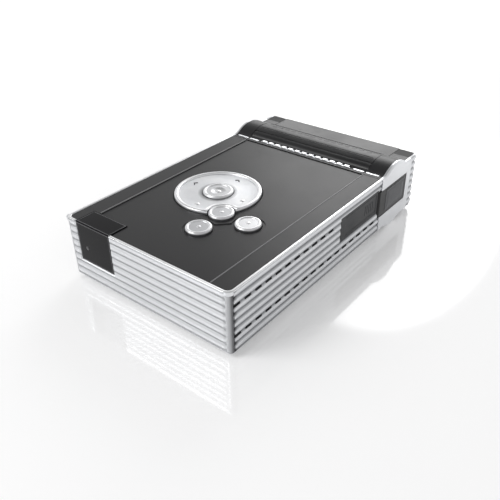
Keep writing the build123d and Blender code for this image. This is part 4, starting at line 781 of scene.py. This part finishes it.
# stage, light and camera, in metres
stage = {
    "floorSize": 6.0, "floorColour": (0.95, 0.95, 0.952), "floorRoughness": 0.07, "floorSpecular": 1.0,
    "floorLift": 0.15,
    "horizonLevel": 1.0, "zenithLevel": 0.34, "fade": (0.34, 0.80),
}
lamps = {
    "keyLight": {"place": (-0.55, -0.75, 0.85), "size": 0.7, "power": 6.5},
    "rearLight": {"place": (-0.34, 0.80, 0.45), "size": 0.5, "power": 1.7},
}
view = {"eye": (0.13643, -0.17419, 0.13772), "forward": (-0.5261, 0.6523, -0.5456), "rollDegrees": -0.921,
        "focalPixels": 605.45, "picturePixels": 500.0, "sensorWidth": 36.0, "clip": (0.01, 20.0)}


def makeFloor():
    half = stage["floorSize"] / 2
    mesh = bpy.data.meshes.new("floor")
    mesh.from_pydata([(x, y, 0) for x, y in rectangle((-half, half), (-half, half))], [], [(0, 1, 2, 3)])
    floor = bpy.data.objects.new("floor", mesh)
    bpy.context.scene.collection.objects.link(floor)
    material, tree, shader = newMaterial("floorPaper")
    shader.inputs["Base Color"].default_value = (*stage["floorColour"], 1.0)
    shader.inputs["Roughness"].default_value = stage["floorRoughness"]
    shader.inputs["Specular IOR Level"].default_value = stage["floorSpecular"]
    # the paper is seen white, with the object's shadow kept
    paths = tree.nodes.new("ShaderNodeLightPath").outputs
    seen = mathNode(tree, "MAXIMUM", paths["Is Camera Ray"], paths["Is Glossy Ray"])
    seen = mathNode(tree, "MAXIMUM", seen, paths["Is Transmission Ray"])
    shader.inputs["Emission Color"].default_value = (1.0, 1.0, 1.0, 1.0)
    tree.links.new(mathNode(tree, "MULTIPLY", seen, stage["floorLift"]), shader.inputs["Emission Strength"])
    mesh.materials.append(material)


def makeWorld():
    # white round the horizon, fading to a dimmer ceiling
    world = bpy.data.worlds.new("studio")
    bpy.context.scene.world = world
    world.use_nodes = True
    tree = world.node_tree
    tree.nodes.clear()
    out = tree.nodes.new("ShaderNodeOutputWorld")
    light = addNode(tree, "ShaderNodeBackground", Strength=1.0)
    axes = tree.nodes.new("ShaderNodeSeparateXYZ")
    tree.links.new(tree.nodes.new("ShaderNodeTexCoord").outputs["Generated"], axes.inputs[0])
    height = spread(tree, axes.outputs["Z"], 0.0, 1.0, *stage["fade"])
    level = spread(tree, height, stage["horizonLevel"], stage["zenithLevel"])
    tree.links.new(level, light.inputs["Color"])
    tree.links.new(light.outputs[0], out.inputs["Surface"])


def makeLamp(name, place, size, power):
    # a disc that faces the object
    data = bpy.data.lights.new(name, "AREA")
    data.shape = "DISK"
    data.size = size
    data.energy = power
    lamp = bpy.data.objects.new(name, data)
    bpy.context.scene.collection.objects.link(lamp)
    lamp.location = place
    lamp.rotation_euler = (-Vector(place)).to_track_quat("-Z", "Y").to_euler()


def makeCamera():
    # the view was matched to edges, corners, keys and window of the object
    forward = Vector(view["forward"]).normalized()
    roll = math.radians(view["rollDegrees"])
    right = forward.cross(Vector(zAxis)).normalized()
    up = right.cross(forward)
    turnedRight = right * math.cos(roll) + up * math.sin(roll)
    turnedUp = up * math.cos(roll) - right * math.sin(roll)
    data = bpy.data.cameras.new("camera")
    data.sensor_width = view["sensorWidth"]
    data.lens = view["focalPixels"] / view["picturePixels"] * data.sensor_width
    data.clip_start, data.clip_end = view["clip"]
    camera = bpy.data.objects.new("camera", data)
    bpy.context.scene.collection.objects.link(camera)
    turn = Matrix((turnedRight, turnedUp, -forward)).transposed()
    camera.matrix_world = Matrix.Translation(view["eye"]) @ turn.to_4x4()
    bpy.context.scene.camera = camera


makeFloor()
makeWorld()
for name, lamp in lamps.items():
    makeLamp(name, lamp["place"], lamp["size"], lamp["power"])
makeCamera()
bpy.context.scene.view_settings.view_transform = "Standard"
print("stage made")
